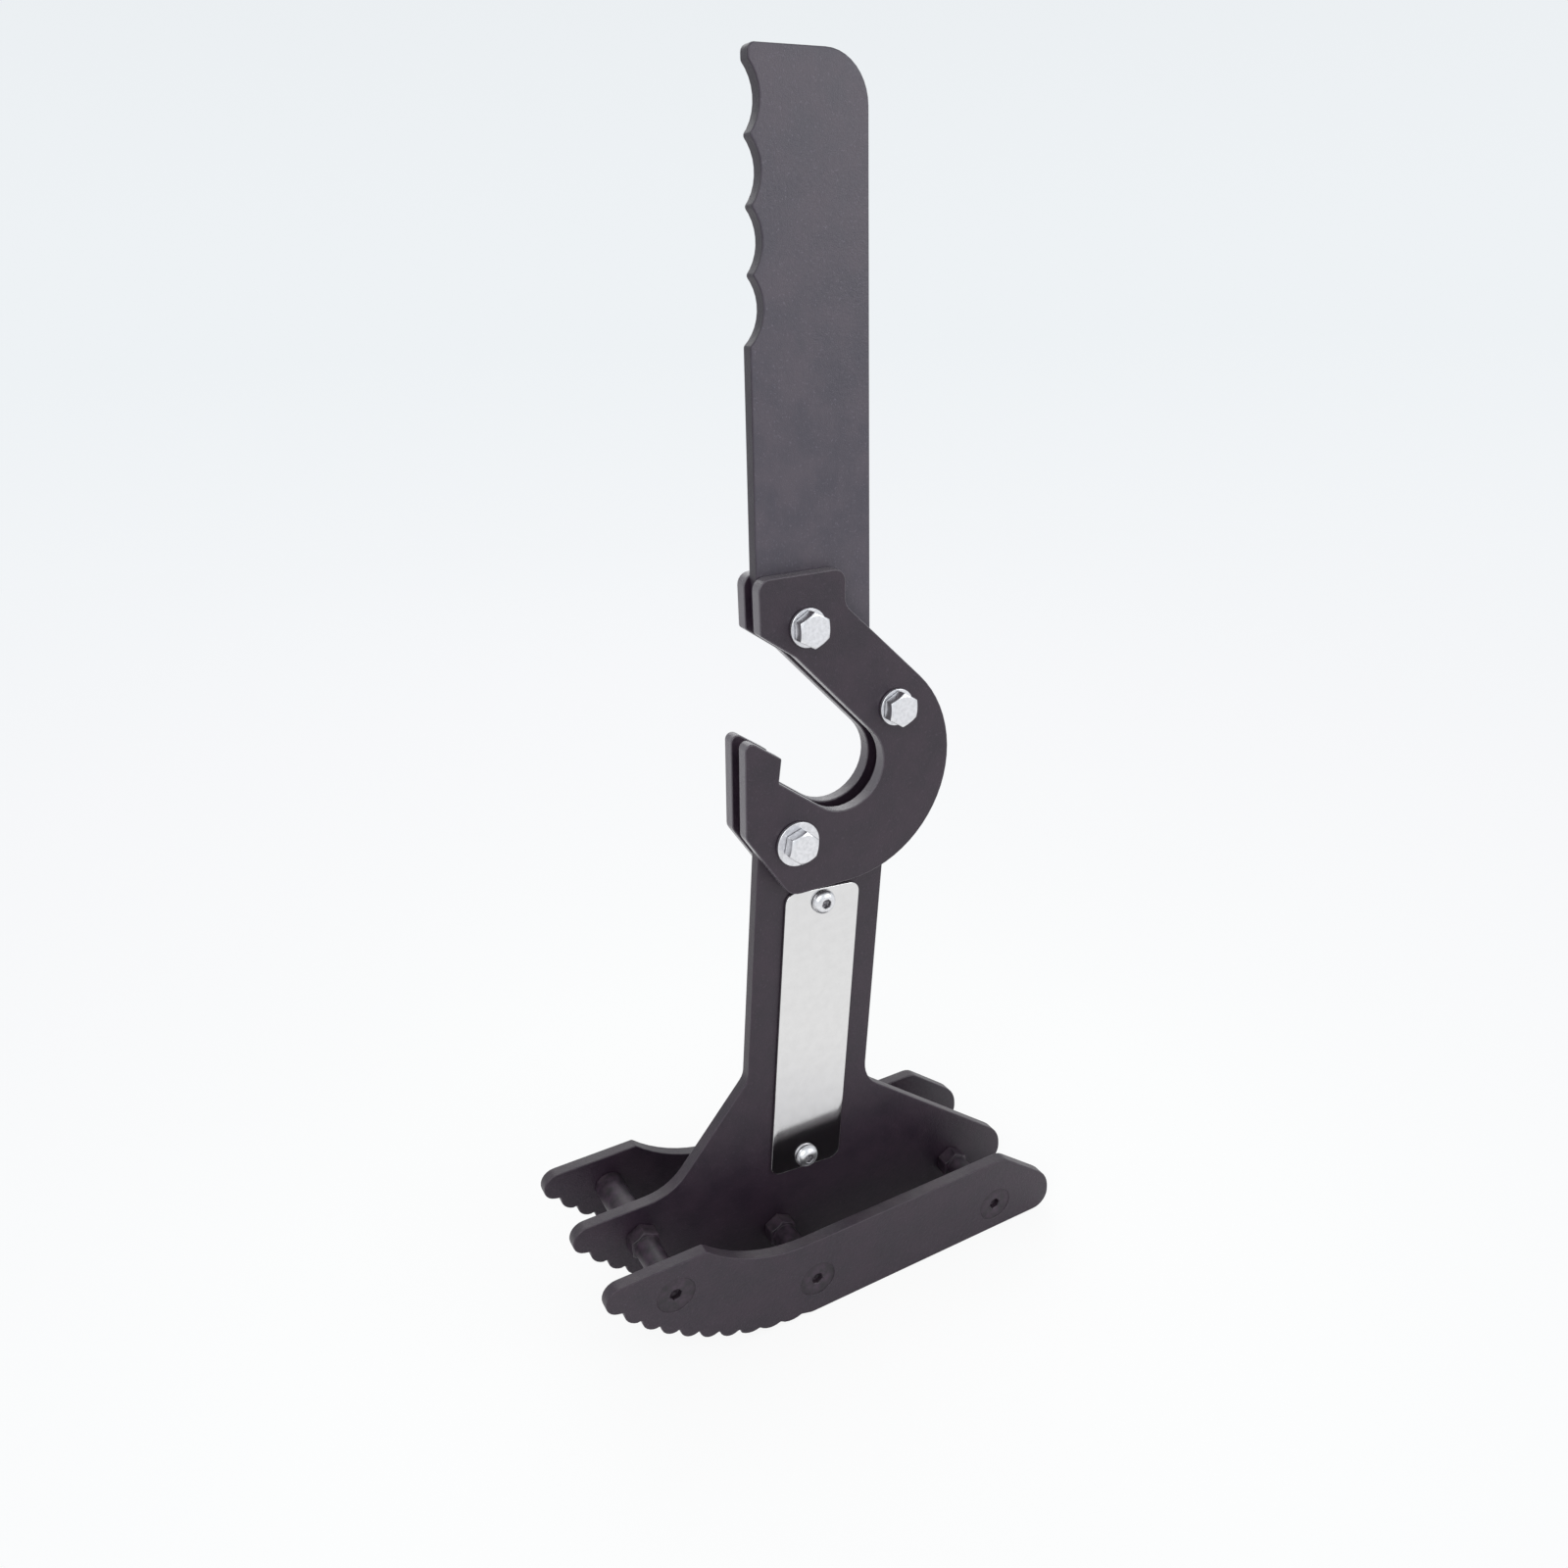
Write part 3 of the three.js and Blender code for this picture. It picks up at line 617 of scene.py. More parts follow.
def placing_tree():
    """Puts a drawing at each point, turned, flipped and widened by the point's own values."""
    tree = bpy.data.node_groups.new("Fasteners in place", "GeometryNodeTree")
    sockets = tree.interface
    for name, kind in (
        ("Places", "NodeSocketGeometry"),
        ("Drawing", "NodeSocketObject"),
        ("Drawing Unit", "NodeSocketFloat"),
        ("Finish", "NodeSocketMaterial"),
    ):
        sockets.new_socket(name, in_out="INPUT", socket_type=kind)
    sockets.new_socket("Fasteners", in_out="OUTPUT", socket_type="NodeSocketGeometry")
    nodes, link = tree.nodes, tree.links.new
    given = nodes.new("NodeGroupInput")
    result = nodes.new("NodeGroupOutput")
    drawing = nodes.new("GeometryNodeObjectInfo")
    place = nodes.new("GeometryNodeInstanceOnPoints")
    realize = nodes.new("GeometryNodeRealizeInstances")
    finish = nodes.new("GeometryNodeSetMaterial")
    euler = nodes.new("ShaderNodeCombineXYZ")
    rotation = nodes.new("FunctionNodeEulerToRotation")
    widths = nodes.new("ShaderNodeCombineXYZ")
    scale = nodes.new("ShaderNodeVectorMath")
    scale.operation = "SCALE"
    values = {}
    for name in ("flip", "turn", "width"):
        value = nodes.new("GeometryNodeInputNamedAttribute")
        value.data_type = "FLOAT"
        value.inputs["Name"].default_value = name
        values[name] = value.outputs["Attribute"]
    link(given.outputs["Drawing"], drawing.inputs["Object"])
    link(given.outputs["Places"], place.inputs["Points"])
    link(drawing.outputs["Geometry"], place.inputs["Instance"])
    link(values["flip"], euler.inputs["X"])
    link(values["turn"], euler.inputs["Y"])
    link(euler.outputs["Vector"], rotation.inputs["Euler"])
    link(rotation.outputs["Rotation"], place.inputs["Rotation"])
    link(values["width"], widths.inputs["X"])
    widths.inputs["Y"].default_value = 1
    link(values["width"], widths.inputs["Z"])
    link(widths.outputs["Vector"], scale.inputs[0])
    link(given.outputs["Drawing Unit"], scale.inputs["Scale"])
    link(scale.outputs["Vector"], place.inputs["Scale"])
    link(place.outputs["Instances"], realize.inputs["Geometry"])
    link(realize.outputs["Geometry"], finish.inputs["Geometry"])
    link(given.outputs["Finish"], finish.inputs["Material"])
    link(finish.outputs["Geometry"], result.inputs["Fasteners"])
    return tree


def placed(name, drawing, places, finish):
    """One plain mesh of the drawing in its places: (x, y, z, flip, turn, width)."""
    mesh = bpy.data.meshes.new(name + "_places")
    mesh.from_pydata([place[:3] for place in places], [], [])
    for k, value in enumerate(("flip", "turn", "width")):
        attribute = mesh.attributes.new(value, "FLOAT", "POINT")
        attribute.data.foreach_set("value", [place[3 + k] for place in places])
    piece = new_object(name, mesh)
    template = new_object(name + "_template", drawing)
    tree = bpy.data.node_groups.get("Fasteners in place") or placing_tree()
    modifier = piece.modifiers.new("Places", "NODES")
    modifier.node_group = tree
    values = {"Drawing": template, "Drawing Unit": MM, "Finish": finish}
    for socket in tree.interface.items_tree:
        if socket.in_out == "INPUT" and socket.name in values:
            modifier[socket.identifier] = values[socket.name]
    ease = piece.modifiers.new("Eased edges", "BEVEL")
    ease.width = bpy.context.scene.jack_fasteners.edge
    ease.segments = 2
    ease.angle_limit = SHARP_CORNER
    ease.use_clamp_overlap = True
    settle(piece)
    bpy.data.objects.remove(template)
    return piece


def middle(node):
    low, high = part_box(node)
    return (low + high) / 2


# Finishes: shared effects are node groups, and each material mixes its own amounts of them

VECTOR, VALUE = "NodeSocketVector", "NodeSocketFloat"
DUST_COLOUR = linear(176, 170, 164)
# Painted shade colours for sockets and the seams round heads, on coats and on metal.
COAT_RECESS_SHADE = linear(13, 9, 13)
METAL_RECESS_SHADE = linear(104, 100, 106)
DUST_AMOUNT = 0.05
COOL, WARM = (0.97, 1.0, 1.03), (1.03, 1.0, 0.97)


def group(name, inputs, outputs):
    tree = bpy.data.node_groups.new(name, "ShaderNodeTree")
    for socket, kind in inputs:
        tree.interface.new_socket(socket, in_out="INPUT", socket_type=kind)
    for socket in outputs:
        tree.interface.new_socket(socket, in_out="OUTPUT", socket_type="NodeSocketFloat")
    return tree, tree.nodes.new("NodeGroupInput"), tree.nodes.new("NodeGroupOutput")


def noise(tree, vector, scale, detail=2.0, roughness=0.5):
    """A noise texture's value; scale is a socket or a number."""
    node = tree.nodes.new("ShaderNodeTexNoise")
    node.inputs["Detail"].default_value = detail
    node.inputs["Roughness"].default_value = roughness
    tree.links.new(vector, node.inputs["Vector"])
    feed(tree, scale, node.inputs["Scale"])
    return node.outputs["Fac"]


def feed(tree, value, socket):
    if hasattr(value, "is_output"):
        tree.links.new(value, socket)
    else:
        socket.default_value = value


def sums(tree, operation, *values):
    node = tree.nodes.new("ShaderNodeMath")
    node.operation = operation
    for socket, value in zip(node.inputs, values):
        feed(tree, value, socket)
    return node.outputs["Value"]


def ramp(tree, value, low, high, to_low=0.0, to_high=1.0):
    node = tree.nodes.new("ShaderNodeMapRange")
    node.interpolation_type = "SMOOTHSTEP"
    for socket, number in zip(list(node.inputs)[1:5], (low, high, to_low, to_high)):
        feed(tree, number, socket)
    tree.links.new(value, node.inputs["Value"])
    return node.outputs["Result"]


def mixed(tree, share, first, second):
    node = tree.nodes.new("ShaderNodeMix")
    node.data_type = "RGBA"
    feed(tree, share, node.inputs["Factor"])
    feed(tree, first, node.inputs["A"])
    feed(tree, second, node.inputs["B"])
    return node.outputs["Result"]


def coat_grain():
    """Powder coat: fine pebbled height, soft cloudy patches and small specks."""
    tree, given, result = group(
        "Coat grain", [("Position", VECTOR), ("Grain Size", VALUE), ("Cloud Size", VALUE)],
        ["Height", "Cloud", "Speck"],
    )
    position = given.outputs["Position"]
    fine = sums(tree, "DIVIDE", 1.0, given.outputs["Grain Size"])
    wide = sums(tree, "DIVIDE", 1.0, given.outputs["Cloud Size"])
    pebbles = noise(tree, position, fine, 3.0, 0.55)
    peel = noise(tree, position, sums(tree, "MULTIPLY", fine, 0.28), 1.0)
    height = sums(tree, "ADD", sums(tree, "MULTIPLY", pebbles, 0.6),
                  sums(tree, "MULTIPLY", peel, 0.4))
    cloud = noise(tree, position, wide, 4.0, 0.6)
    speck = noise(tree, position, sums(tree, "MULTIPLY", fine, 0.5), 2.0)
    tree.links.new(height, result.inputs["Height"])
    tree.links.new(ramp(tree, cloud, 0.3, 0.7), result.inputs["Cloud"])
    tree.links.new(ramp(tree, speck, 0.62, 0.72), result.inputs["Speck"])
    return tree


def rim_wear_and_sheen():
    """Worn coat and a painted sheen along the rounded rims, broken up by noise."""
    tree, given, result = group(
        "Rim wear", [("Position", VECTOR), ("Rim", VALUE), ("Amount", VALUE)], ["Wear"],
    )
    patches = noise(tree, given.outputs["Position"], 95.0, 5.0, 0.65)
    broken = ramp(tree, patches, 0.38, 0.68, 0.25, 1.0)
    rim = ramp(tree, given.outputs["Rim"], 0.25, 0.95)
    wear_and_sheen = sums(tree, "MULTIPLY", sums(tree, "MULTIPLY", rim, broken), given.outputs["Amount"])
    tree.links.new(wear_and_sheen, result.inputs["Wear"])
    return tree


def settled_dust():
    """A thin veil of dust on what faces up, patchy."""
    tree, given, result = group(
        "Settled dust", [("Position", VECTOR), ("Facing", VECTOR), ("Amount", VALUE)], ["Dust"],
    )
    parts = tree.nodes.new("ShaderNodeSeparateXYZ")
    tree.links.new(given.outputs["Facing"], parts.inputs["Vector"])
    upward = ramp(tree, parts.outputs["Z"], 0.35, 0.95)
    patches = ramp(tree, noise(tree, given.outputs["Position"], 60.0, 4.0, 0.6), 0.35, 0.7)
    dust = sums(tree, "MULTIPLY", sums(tree, "MULTIPLY", upward, patches),
                given.outputs["Amount"])
    tree.links.new(dust, result.inputs["Dust"])
    return tree


def painted_recess_shade():
    """Painted shade in sockets and round heads, broken up by noise."""
    tree, given, result = group(
        "Caught grime", [("Position", VECTOR), ("Grime", VALUE)], ["Share"],
    )
    patches = ramp(tree, noise(tree, given.outputs["Position"], 800.0, 3.0, 0.6), 0.3, 0.7,
                   0.5, 1.0)
    share = sums(tree, "MULTIPLY", given.outputs["Grime"], patches)
    tree.links.new(share, result.inputs["Share"])
    return tree


def brushed_lines():
    """Fine lines along one direction, with a few longer and deeper scratches among them."""
    tree, given, result = group(
        "Brushed lines", [("Position", VECTOR), ("Lean", VALUE), ("Stretch", VECTOR)],
        ["Lines", "Scratch"],
    )
    turned = tree.nodes.new("ShaderNodeVectorRotate")
    turned.rotation_type = "Y_AXIS"
    tree.links.new(given.outputs["Position"], turned.inputs["Vector"])
    tree.links.new(given.outputs["Lean"], turned.inputs["Angle"])
    stretched = tree.nodes.new("ShaderNodeVectorMath")
    stretched.operation = "MULTIPLY"
    tree.links.new(turned.outputs["Vector"], stretched.inputs[0])
    tree.links.new(given.outputs["Stretch"], stretched.inputs[1])
    lines = noise(tree, stretched.outputs["Vector"], 1.0, 3.0, 0.6)
    scratch = noise(tree, stretched.outputs["Vector"], 0.37, 2.0)
    tree.links.new(lines, result.inputs["Lines"])
    tree.links.new(ramp(tree, scratch, 0.66, 0.74), result.inputs["Scratch"])
    return tree


GROUPS = {
    "Coat grain": coat_grain,
    "Rim wear": rim_wear_and_sheen,
    "Settled dust": settled_dust,
    "Caught grime": painted_recess_shade,
    "Brushed lines": brushed_lines,
}


def use_group(tree, name, **values):
    """A shared effect placed in a material; a value's name has _ for each space."""
    node = tree.nodes.new("ShaderNodeGroup")
    node.node_tree = bpy.data.node_groups.get(name) or GROUPS[name]()
    for socket, value in values.items():
        feed(tree, value, node.inputs[socket.replace("_", " ")])
    return node.outputs


def new_material(name, roughness, metallic=0.0):
    """A material, its shader and the position on the piece."""
    material = bpy.data.materials.new(name)
    material.use_nodes = True
    tree = material.node_tree
    shader = tree.nodes["Principled BSDF"]
    shader.inputs["Roughness"].default_value = roughness
    shader.inputs["Metallic"].default_value = metallic
    position = tree.nodes.new("ShaderNodeTexCoord").outputs["Object"]
    return material, tree, shader, position


def bump(tree, shader, height, depth):
    node = tree.nodes.new("ShaderNodeBump")
    node.inputs["Distance"].default_value = depth
    tree.links.new(height, node.inputs["Height"])
    tree.links.new(node.outputs["Normal"], shader.inputs["Normal"])


def mask(tree, name):
    """One of the masks that the pieces carry: rim, wall or painted recess shade."""
    node = tree.nodes.new("ShaderNodeAttribute")
    node.attribute_name = name
    return node.outputs["Fac"]


def recess_shade_on(tree, position):
    """How much of the surface takes painted shade, from the piece's own mask."""
    return use_group(
        tree, "Caught grime", Position=position, Grime=mask(tree, "grime")
    )["Share"]


def rougher(tree, gloss, share, amount):
    """The roughness with that amount more of it where the share is 1."""
    return sums(tree, "ADD", gloss, sums(tree, "MULTIPLY", share, amount))


def coat_material(
    name, colour, edge, roughness, *, edge_gloss, grain, depth, cloud, cloudiness, wear_and_sheen_amount
):
    """A powder coat over steel, of another colour and gloss on the cut edges; on the hook plates
    that colour is painted light.
    """
    material, tree, shader, position = new_material(name, roughness)
    texture = use_group(
        tree, "Coat grain", Position=position, Grain_Size=grain, Cloud_Size=cloud
    )
    wear_and_sheen = use_group(
        tree, "Rim wear", Position=position, Rim=mask(tree, "rim"), Amount=wear_and_sheen_amount
    )["Wear"]
    facing = tree.nodes.new("ShaderNodeNewGeometry").outputs["Normal"]
    dust = use_group(
        tree, "Settled dust", Position=position, Facing=facing, Amount=DUST_AMOUNT
    )["Dust"]
    dark = [c * (1 - cloudiness) * cool for c, cool in zip(colour, COOL)] + [1]
    light = [c * (1 + cloudiness) * warm for c, warm in zip(colour, WARM)] + [1]
    # Paler coat, for the specks and for the rims' wear and painted sheen.
    thin = [c * 1.9 + 0.012 for c in colour] + [1]
    tint = mixed(tree, texture["Cloud"], dark, light)
    tint = mixed(tree, sums(tree, "MULTIPLY", texture["Speck"], 0.45), tint, thin)
    wall = mask(tree, "wall")
    # Painted shade in sockets and seams, from the piece's own mask.
    grime = recess_shade_on(tree, position)
    # The wall share paints light on the hook plates' cut edges; the rim share is worn coat with a
    # painted sheen.
    for share, over in (
        (wall, [*edge, 1]), (wear_and_sheen, thin), (dust, [*DUST_COLOUR, 1]), (grime, [*COAT_RECESS_SHADE, 1])
    ):
        tint = mixed(tree, share, tint, over)
    tree.links.new(tint, shader.inputs["Base Color"])
    gloss = rougher(tree, roughness - 0.03, texture["Cloud"], 0.06)
    for share, amount in ((wear_and_sheen, -0.08), (wall, -edge_gloss), (dust, 0.6), (grime, 0.3)):
        gloss = rougher(tree, gloss, share, amount)
    tree.links.new(gloss, shader.inputs["Roughness"])
    bump(tree, shader, texture["Height"], depth)
    return material


def metal_material(name, colour, roughness, *, lean, stretch, depth, patch, dull):
    """Bare or plated steel with fine lines; patch is the size of its duller patches."""
    material, tree, shader, position = new_material(name, roughness, 1.0)
    lines = use_group(tree, "Brushed lines", Position=position, Lean=lean, Stretch=stretch)
    patches = ramp(tree, noise(tree, position, 1 / patch, 4.0, 0.6), 0.3, 0.75)
    worn = [c * (1 - 3 * dull) for c in colour] + [1]
    tint = mixed(tree, sums(tree, "MULTIPLY", patches, 0.75), [*colour, 1], worn)
    tint = mixed(tree, sums(tree, "MULTIPLY", lines["Scratch"], 0.18), tint, worn)
    # Painted shade darkens the sockets and the rings round the heads.
    grime = recess_shade_on(tree, position)
    tint = mixed(tree, grime, tint, [*METAL_RECESS_SHADE, 1])
    tree.links.new(tint, shader.inputs["Base Color"])
    gloss = roughness
    for share, amount in ((patches, dull), (lines["Lines"], 0.05), (grime, 0.25)):
        gloss = rougher(tree, gloss, share, amount)
    tree.links.new(gloss, shader.inputs["Roughness"])
    bump(tree, shader, lines["Lines"], depth)
    return material


def powder_coat():
    finish = bpy.context.scene.jack_finish
    return bpy.data.materials.get("Powder coat") or coat_material(
        "Powder coat", finish.coat, finish.coat_edge_light, finish.coat_roughness, edge_gloss=0.24,
        grain=finish.grain, depth=0.00021, cloud=finish.cloud, cloudiness=0.18, wear_and_sheen_amount=0.5,
    )


def handle_coat():
    finish = bpy.context.scene.jack_finish
    return bpy.data.materials.get("Handle coat") or coat_material(
        "Handle coat", finish.handle, finish.handle_edge, finish.handle_roughness,
        edge_gloss=0.0, grain=finish.grain * 0.8, depth=0.00016, cloud=finish.cloud,
        cloudiness=0.13, wear_and_sheen_amount=0.25,
    )


def black_oxide():
    finish = bpy.context.scene.jack_finish
    return bpy.data.materials.get("Black oxide") or coat_material(
        "Black oxide", finish.oxide, finish.oxide, 0.46, edge_gloss=0.0,
        grain=finish.grain * 0.6, depth=0.00006, cloud=finish.cloud * 0.28, cloudiness=0.6,
        wear_and_sheen_amount=0.0,
    )


def zinc_plate():
    finish = bpy.context.scene.jack_finish
    return bpy.data.materials.get("Zinc plate") or metal_material(
        "Zinc plate", finish.zinc, 0.25, lean=0.0, stretch=(900.0, 900.0, 900.0),
        depth=0.00003, patch=0.0017, dull=0.09,
    )


def bare_steel():
    finish = bpy.context.scene.jack_finish
    return bpy.data.materials.get("Bare steel") or metal_material(
        "Bare steel", finish.steel, 0.07, lean=-NAME_LEAN, stretch=(5200.0, 5200.0, 60.0),
        depth=0.000004, patch=0.0048, dull=0.02,
    )


def lean_of(lower, upper):
    """The angle from vertical of the line between two nodes' middles, towards +x."""
    low, high = middle(lower), middle(upper)
    return math.atan2(high.x - low.x, high.z - low.z)


NAME_LEAN = lean_of("name_plate_screw_lower", "name_plate_screw_upper")


# Operators, one for each piece or group of like pieces


class JackOperator:
    bl_options = {"REGISTER", "UNDO"}


class JACK_OT_base_plates(JackOperator, bpy.types.Operator):
    """The two side plates of the base, and the centre plate that runs up as the column"""

    bl_idname = "jack.base_plates"
    bl_label = "Base and column plates"

    def execute(self, context):
        plates = context.scene.jack_plates
        for name in ("base_plate_front", "base_plate_rear", "column_plate"):
            dress_plate(
                name + "_coated", name, powder_coat(), "powder_coat", plates.rim, plates.base_edge_light
            )
        return {"FINISHED"}


class JACK_OT_hook_plates(JackOperator, bpy.types.Operator):
    """The two C-shaped plates that carry the bar"""

    bl_idname = "jack.hook_plates"
    bl_label = "Hook plates"

    def execute(self, context):
        plates = context.scene.jack_plates
        for name in ("hook_plate_front", "hook_plate_rear"):
            dress_plate(
                name + "_coated", name, powder_coat(), "powder_coat", plates.rim, plates.hook_edge_light
            )
        return {"FINISHED"}


class JACK_OT_handle(JackOperator, bpy.types.Operator):
    """The handle with its finger grip"""

    bl_idname = "jack.handle"
    bl_label = "Handle"

    def execute(self, context):
        rim = context.scene.jack_plates.rim
        dress_plate("handle_coated", "handle_plate", handle_coat(), "handle_coat", rim)
        return {"FINISHED"}


class JACK_OT_name_plate(JackOperator, bpy.types.Operator):
    """The bare polished plate on the column and its two screws"""

    bl_idname = "jack.name_plate"
    bl_label = "Name plate"

    def execute(self, context):
        plates = context.scene.jack_plates
        dress_plate(
            "name_plate_polished", "name_plate", bare_steel(), "bare_steel", plates.sheet_rim,
            roll=plates.roll,
        )
        names = [f"name_plate_screw_{place}" for place in NAME_SCREWS]
        low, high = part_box(names[0])
        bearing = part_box("name_plate")[0].y - 0.3 * MM
        height, length = (bearing - low.y) / MM, (high.y - bearing) / MM
        places = []
        for name, turn in zip(names, (0.35, 0.9)):
            centre = middle(name)
            places.append((centre.x, bearing, centre.z, 0.0, turn, 1.0))
        piece = placed(
            "name_plate_screws", button_screw_mesh(height, length), places, zinc_plate()
        )
        join_frame(piece, zinc_plate(), "zinc", *names)
        return {"FINISHED"}


class JACK_OT_hook_fasteners(JackOperator, bpy.types.Operator):
    """The three hexagon bolts through the hook, their washers and nuts"""

    bl_idname = "jack.hook_fasteners"
    bl_label = "Hook fasteners"

    def execute(self, context):
        sizes = context.scene.jack_fasteners
        turn_of = {"upper": 0.0, "middle": 0.05, "lower": 0.2}
        bolts, washers, nuts = [], [], []
        for place in BOLTS:
            turn = turn_of[place]
            low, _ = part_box(f"hook_bolt_{place}")
            centre = middle(f"front_washer_{place}")
            bolts.append((centre.x, low.y + sizes.head, centre.z, 0.0, turn, 1.0))
            nut_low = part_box(f"hook_nut_{place}")[0]
            nuts.append((centre.x, nut_low.y, centre.z, 0.0, 0.3 - turn, 1.0))
            for side in ("front", "rear"):
                washer_low, washer_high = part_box(f"{side}_washer_{place}")
                width = (washer_high.z - washer_low.z) / sizes.washer
                washers.append((centre.x, washer_low.y, centre.z, 0.0, 0.0, width))
        thickness = (washer_high.y - washer_low.y) / MM
        washer = washer_mesh(sizes.washer / MM, sizes.washer_bore / MM, thickness)
        for name, drawing, places, nodes in (
            ("hook_bolts", bolt_mesh(), bolts, [f"hook_bolt_{p}" for p in BOLTS]),
            ("hook_nuts", nut_mesh(), nuts, [f"hook_nut_{p}" for p in BOLTS]),
            ("hook_washers", washer, washers,
             [f"{side}_washer_{p}" for p in BOLTS for side in ("front", "rear")]),
        ):
            piece = placed(name, drawing, places, zinc_plate())
            join_frame(piece, zinc_plate(), "zinc", *nodes)
        return {"FINISHED"}


class JACK_OT_cross_members(JackOperator, bpy.types.Operator):
    """Standoffs, sleeves and countersunk screws that hold the base plates apart"""

    bl_idname = "jack.cross_members"
    bl_label = "Cross members"

    def execute(self, context):
        groups = (
            ("standoffs", "standoff", standoff_mesh, 1),
            ("sleeves", "sleeve", sleeve_mesh, 0),
            ("front_cross_screws", "front_screw", cross_screw_mesh, 0),
            ("rear_cross_screws", "rear_screw", cross_screw_mesh, 1),
        )
        for name, kind, draw, from_rear in groups:
            nodes = [f"{kind}_{place}" for place in MEMBERS]
            low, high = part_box(nodes[0])
            y = high.y if from_rear else low.y
            flip = math.pi if kind == "rear_screw" else 0.0
            places = [
                (middle(node).x, y, middle(node).z, flip, 0.4 + 0.5 * k, 1.0)
                for k, node in enumerate(nodes)
            ]
            if kind == "standoff":
                places = [(*place[:4], 0.0, 1.0) for place in places]
            piece = placed(name, draw((high.y - low.y) / MM), places, black_oxide())
            join_frame(piece, black_oxide(), "black_oxide", *nodes)
        return {"FINISHED"}


class JACK_OT_stage(JackOperator, bpy.types.Operator):
    """Pale floor, soft studio light and the camera"""

    bl_idname = "jack.stage"
    bl_label = "Stage"

    def execute(self, context):
        scene = context.scene
        stage = scene.jack_stage
        scene.view_settings.view_transform = "Standard"
        make_floor(stage)
        make_world(scene, stage)
        make_camera(scene, stage)
        for lamp in LAMPS:
            make_lamp(*lamp)
        return {"FINISHED"}


FLOOR_DROP = 0.0002
LAMP_TARGET = Vector((0, 0, 0.25))
LAMPS = (
    ("key_light", (-1.25, -1.15, 1.35), 1.3, 15.0),
    ("side_light", (1.35, -1.7, 1.0), 1.1, 12.0),
    ("back_light", (0.5, 1.5, 1.1), 1.4, 8.5),
)


def make_lamp(name, place, size, watts):
    """A soft square lamp that faces the middle of the jack."""
    data = bpy.data.lights.new(name, "AREA")
    data.size = size
    data.energy = watts
    lamp = bpy.data.objects.new(name, data)
    bpy.context.scene.collection.objects.link(lamp)
    lamp.location = place
    lamp.rotation_euler = (LAMP_TARGET - Vector(place)).to_track_quat("-Z", "Y").to_euler()


def make_camera(scene, stage):
    data = bpy.data.cameras.new("camera")
    data.sensor_width = 36
    data.lens = stage.lens
    data.clip_start = 0.01
    camera = bpy.data.objects.new("camera", data)
    scene.collection.objects.link(camera)
    yaw, pitch, roll = stage.yaw, stage.pitch, stage.roll
    look = Vector((
        math.sin(yaw) * math.cos(pitch), math.cos(yaw) * math.cos(pitch), -math.sin(pitch)
    ))
    level = Vector((math.cos(yaw), -math.sin(yaw), 0))
    upright = level.cross(look)
    across = level * math.cos(roll) + upright * math.sin(roll)
    upward = upright * math.cos(roll) - level * math.sin(roll)
    turn = Matrix((across, upward, -look)).transposed()
    camera.matrix_world = Matrix.LocRotScale(Vector(stage.place), turn, None)
    scene.camera = camera


def backdrop_rays(tree):
    """The rays that show the backdrop as it is: 1 for camera rays, and for mirrored ones."""
    path = tree.nodes.new("ShaderNodeLightPath").outputs
    mirrored = sums(tree, "MAXIMUM", path["Is Glossy Ray"], path["Is Transmission Ray"])
    return path["Is Camera Ray"], mirrored


def make_world(scene, stage):
    """Even light from all round, and a pale backdrop where it is seen."""
    world = bpy.data.worlds.new("studio")
    scene.world = world
    world.use_nodes = True
    tree = world.node_tree
    output = tree.nodes["World Output"]
    light = tree.nodes["Background"]
    light.inputs["Color"].default_value = (0.97, 0.98, 1.0, 1)
    light.inputs["Strength"].default_value = stage.sky
    shown = tree.nodes.new("ShaderNodeBackground")
    direction = tree.nodes.new("ShaderNodeTexCoord").outputs["Generated"]
    parts = tree.nodes.new("ShaderNodeSeparateXYZ")
    tree.links.new(direction, parts.inputs["Vector"])
    height = ramp(tree, parts.outputs["Z"], 0.0, 0.3)
    top = [*linear(234, 238, 241), 1]
    tree.links.new(mixed(tree, height, [*stage.backdrop, 1], top), shown.inputs["Color"])
    mix = tree.nodes.new("ShaderNodeMixShader")
    tree.links.new(sums(tree, "MAXIMUM", *backdrop_rays(tree)), mix.inputs["Fac"])
    tree.links.new(light.outputs["Background"], mix.inputs[1])
    tree.links.new(shown.outputs["Background"], mix.inputs[2])
    tree.links.new(mix.outputs["Shader"], output.inputs["Surface"])


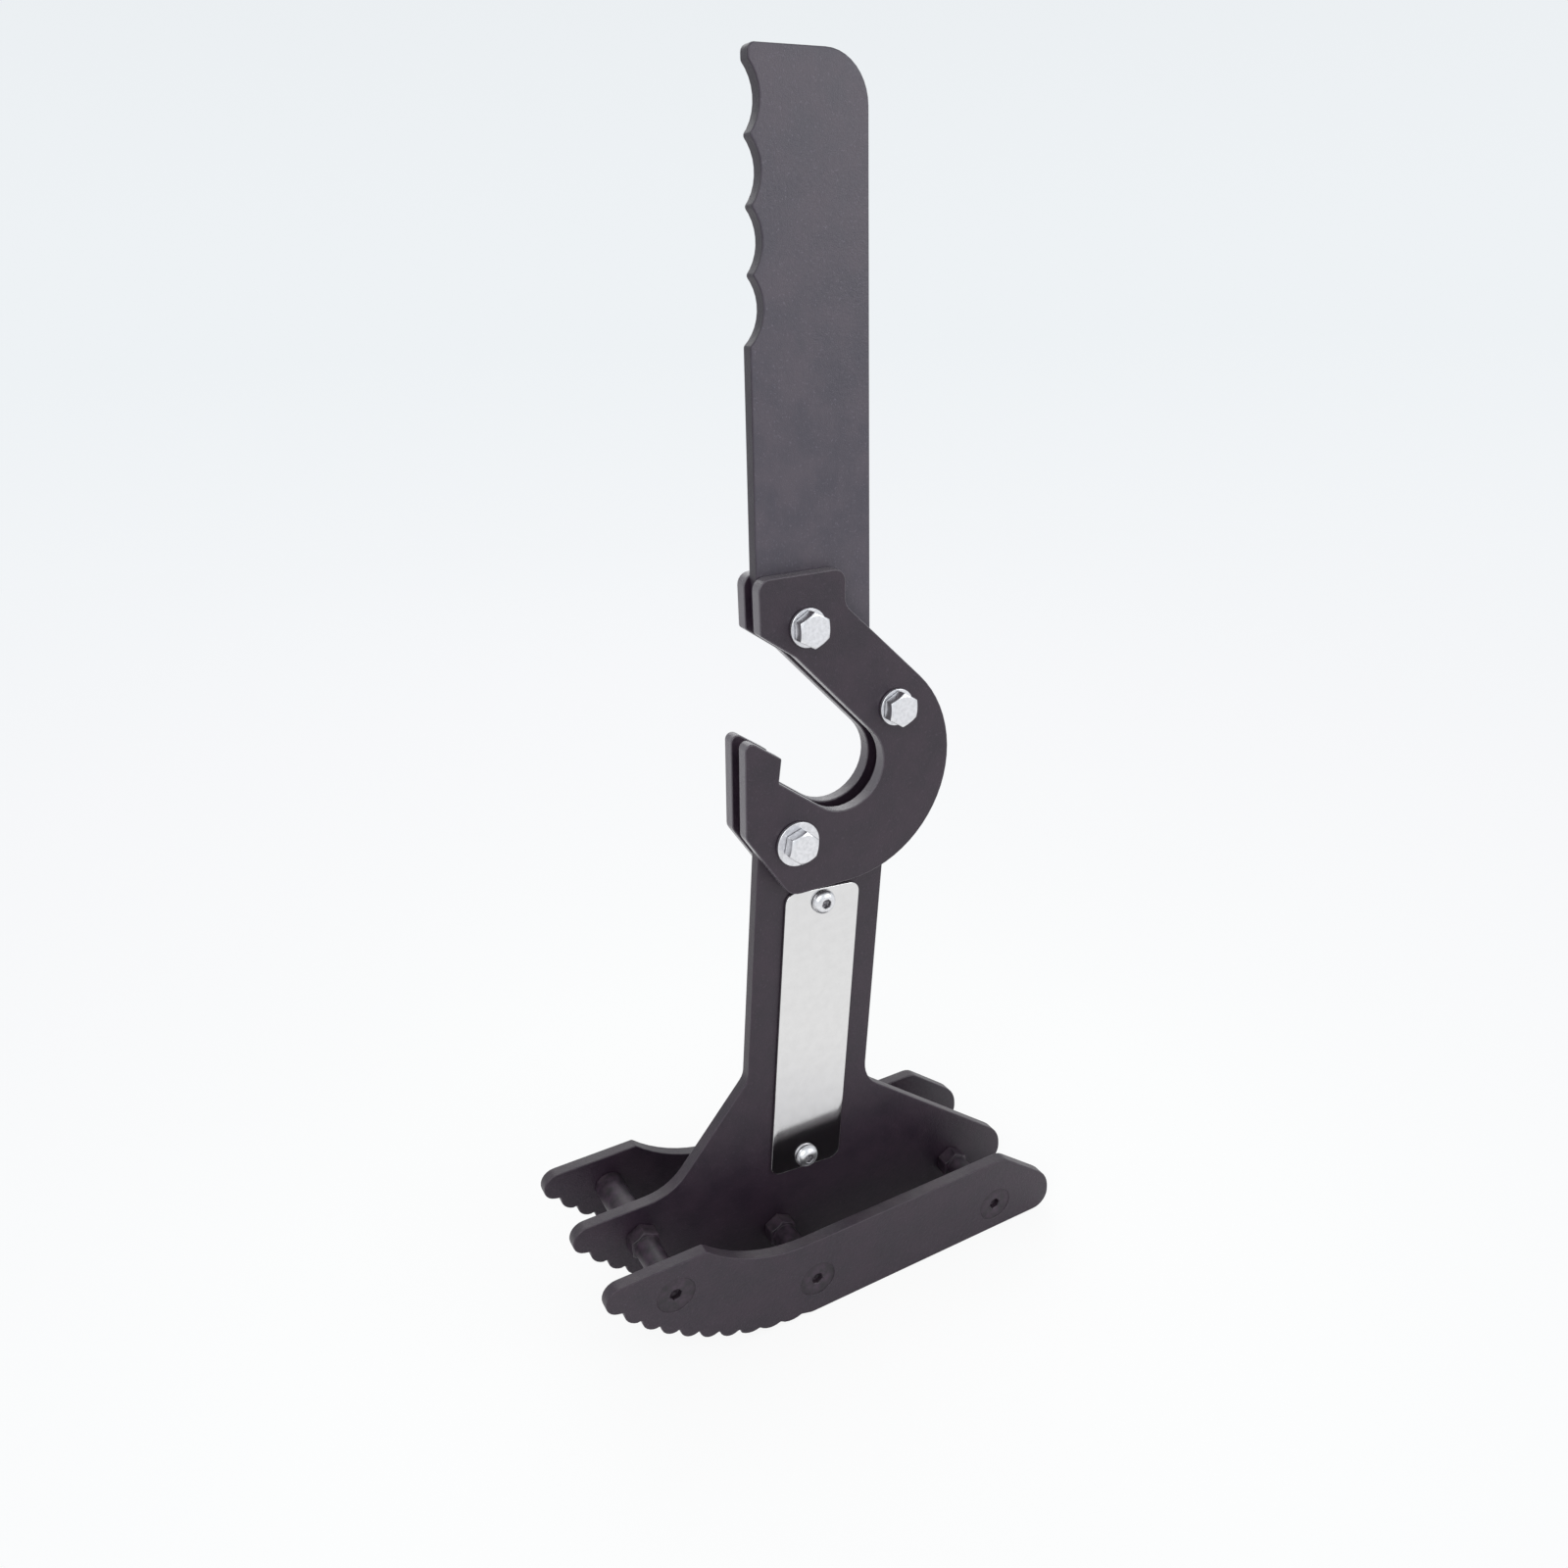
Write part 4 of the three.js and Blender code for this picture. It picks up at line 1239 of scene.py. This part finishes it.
def make_floor(stage):
    """A round floor that keeps the jack's shadow and fades into the backdrop far away."""
    bm = bmesh.new()
    bmesh.ops.create_circle(bm, cap_ends=True, segments=96, radius=stage.floor_size)
    mesh = bpy.data.meshes.new("floor")
    bm.to_mesh(mesh)
    bm.free()
    floor = new_object("floor", mesh)
    floor.location.z = -FLOOR_DROP
    material, tree, shader, position = new_material("Pale floor", 0.9)
    shader.inputs["Specular IOR Level"].default_value = 0.1
    shader.inputs["Base Color"].default_value = (0.92, 0.925, 0.93, 1)
    length = tree.nodes.new("ShaderNodeVectorMath")
    length.operation = "LENGTH"
    tree.links.new(position, length.inputs[0])
    away = length.outputs["Value"]
    near = sums(tree, "DIVIDE", 1.0, sums(tree, "ADD", away, 0.46))
    fade = tree.nodes.new("ShaderNodeValToRGB")
    tree.links.new(sums(tree, "DIVIDE", near, 2.0), fade.inputs["Fac"])
    stops = fade.color_ramp.elements
    stops[0].position, stops[0].color = 0.05, [*stage.backdrop, 1]
    stops[1].position, stops[1].color = 1.0, [*stage.floor, 1]
    for place, colour in ((0.37, (247, 248, 250)), (0.71, (253, 254, 254))):
        stops.new(place).color = [*linear(*colour), 1]
    glow = tree.nodes.new("ShaderNodeEmission")
    tree.links.new(fade.outputs["Color"], glow.inputs["Color"])
    in_view, mirrored = backdrop_rays(tree)
    in_view = sums(tree, "MULTIPLY", in_view, ramp(tree, away, 0.3, 2.0, 0.88, 1.0))
    mirrored = sums(tree, "MULTIPLY", mirrored, ramp(tree, away, 0.09, 0.2))
    mix = tree.nodes.new("ShaderNodeMixShader")
    tree.links.new(sums(tree, "MAXIMUM", in_view, mirrored), mix.inputs["Fac"])
    tree.links.new(shader.outputs["BSDF"], mix.inputs[1])
    tree.links.new(glow.outputs["Emission"], mix.inputs[2])
    tree.links.new(mix.outputs["Shader"], tree.nodes["Material Output"].inputs["Surface"])
    mesh.materials.append(material)


class JACK_PT_panel(bpy.types.Panel):
    """Lists the jack's pieces and their settings"""

    bl_idname = "JACK_PT_panel"
    bl_label = "Deadlift jack"
    bl_space_type = "VIEW_3D"
    bl_region_type = "UI"
    bl_category = "Jack"

    def draw(self, context):
        for operator in OPERATORS:
            self.layout.operator(operator.bl_idname)
        for name in SETTINGS:
            box = self.layout.box()
            settings = getattr(context.scene, name)
            for key in settings.bl_rna.properties.keys():
                if key not in ("name", "rna_type"):
                    box.prop(settings, key)


SETTINGS = {
    "jack_plates": PlateSettings,
    "jack_fasteners": FastenerSettings,
    "jack_finish": FinishSettings,
    "jack_stage": StageSettings,
}
OPERATORS = (
    JACK_OT_base_plates,
    JACK_OT_hook_plates,
    JACK_OT_handle,
    JACK_OT_name_plate,
    JACK_OT_hook_fasteners,
    JACK_OT_cross_members,
    JACK_OT_stage,
)
CLASSES = (*SETTINGS.values(), *OPERATORS, JACK_PT_panel)


def register():
    for cls in CLASSES:
        bpy.utils.register_class(cls)
    for name, settings in SETTINGS.items():
        setattr(bpy.types.Scene, name, PointerProperty(type=settings))


def unregister():
    for name in SETTINGS:
        delattr(bpy.types.Scene, name)
    for cls in reversed(CLASSES):
        bpy.utils.unregister_class(cls)


def main():
    register()
    bpy.ops.jack.base_plates()
    bpy.ops.jack.hook_plates()
    bpy.ops.jack.handle()
    bpy.ops.jack.name_plate()
    bpy.ops.jack.hook_fasteners()
    bpy.ops.jack.cross_members()
    bpy.ops.jack.stage()


if __name__ == "__main__":
    main()
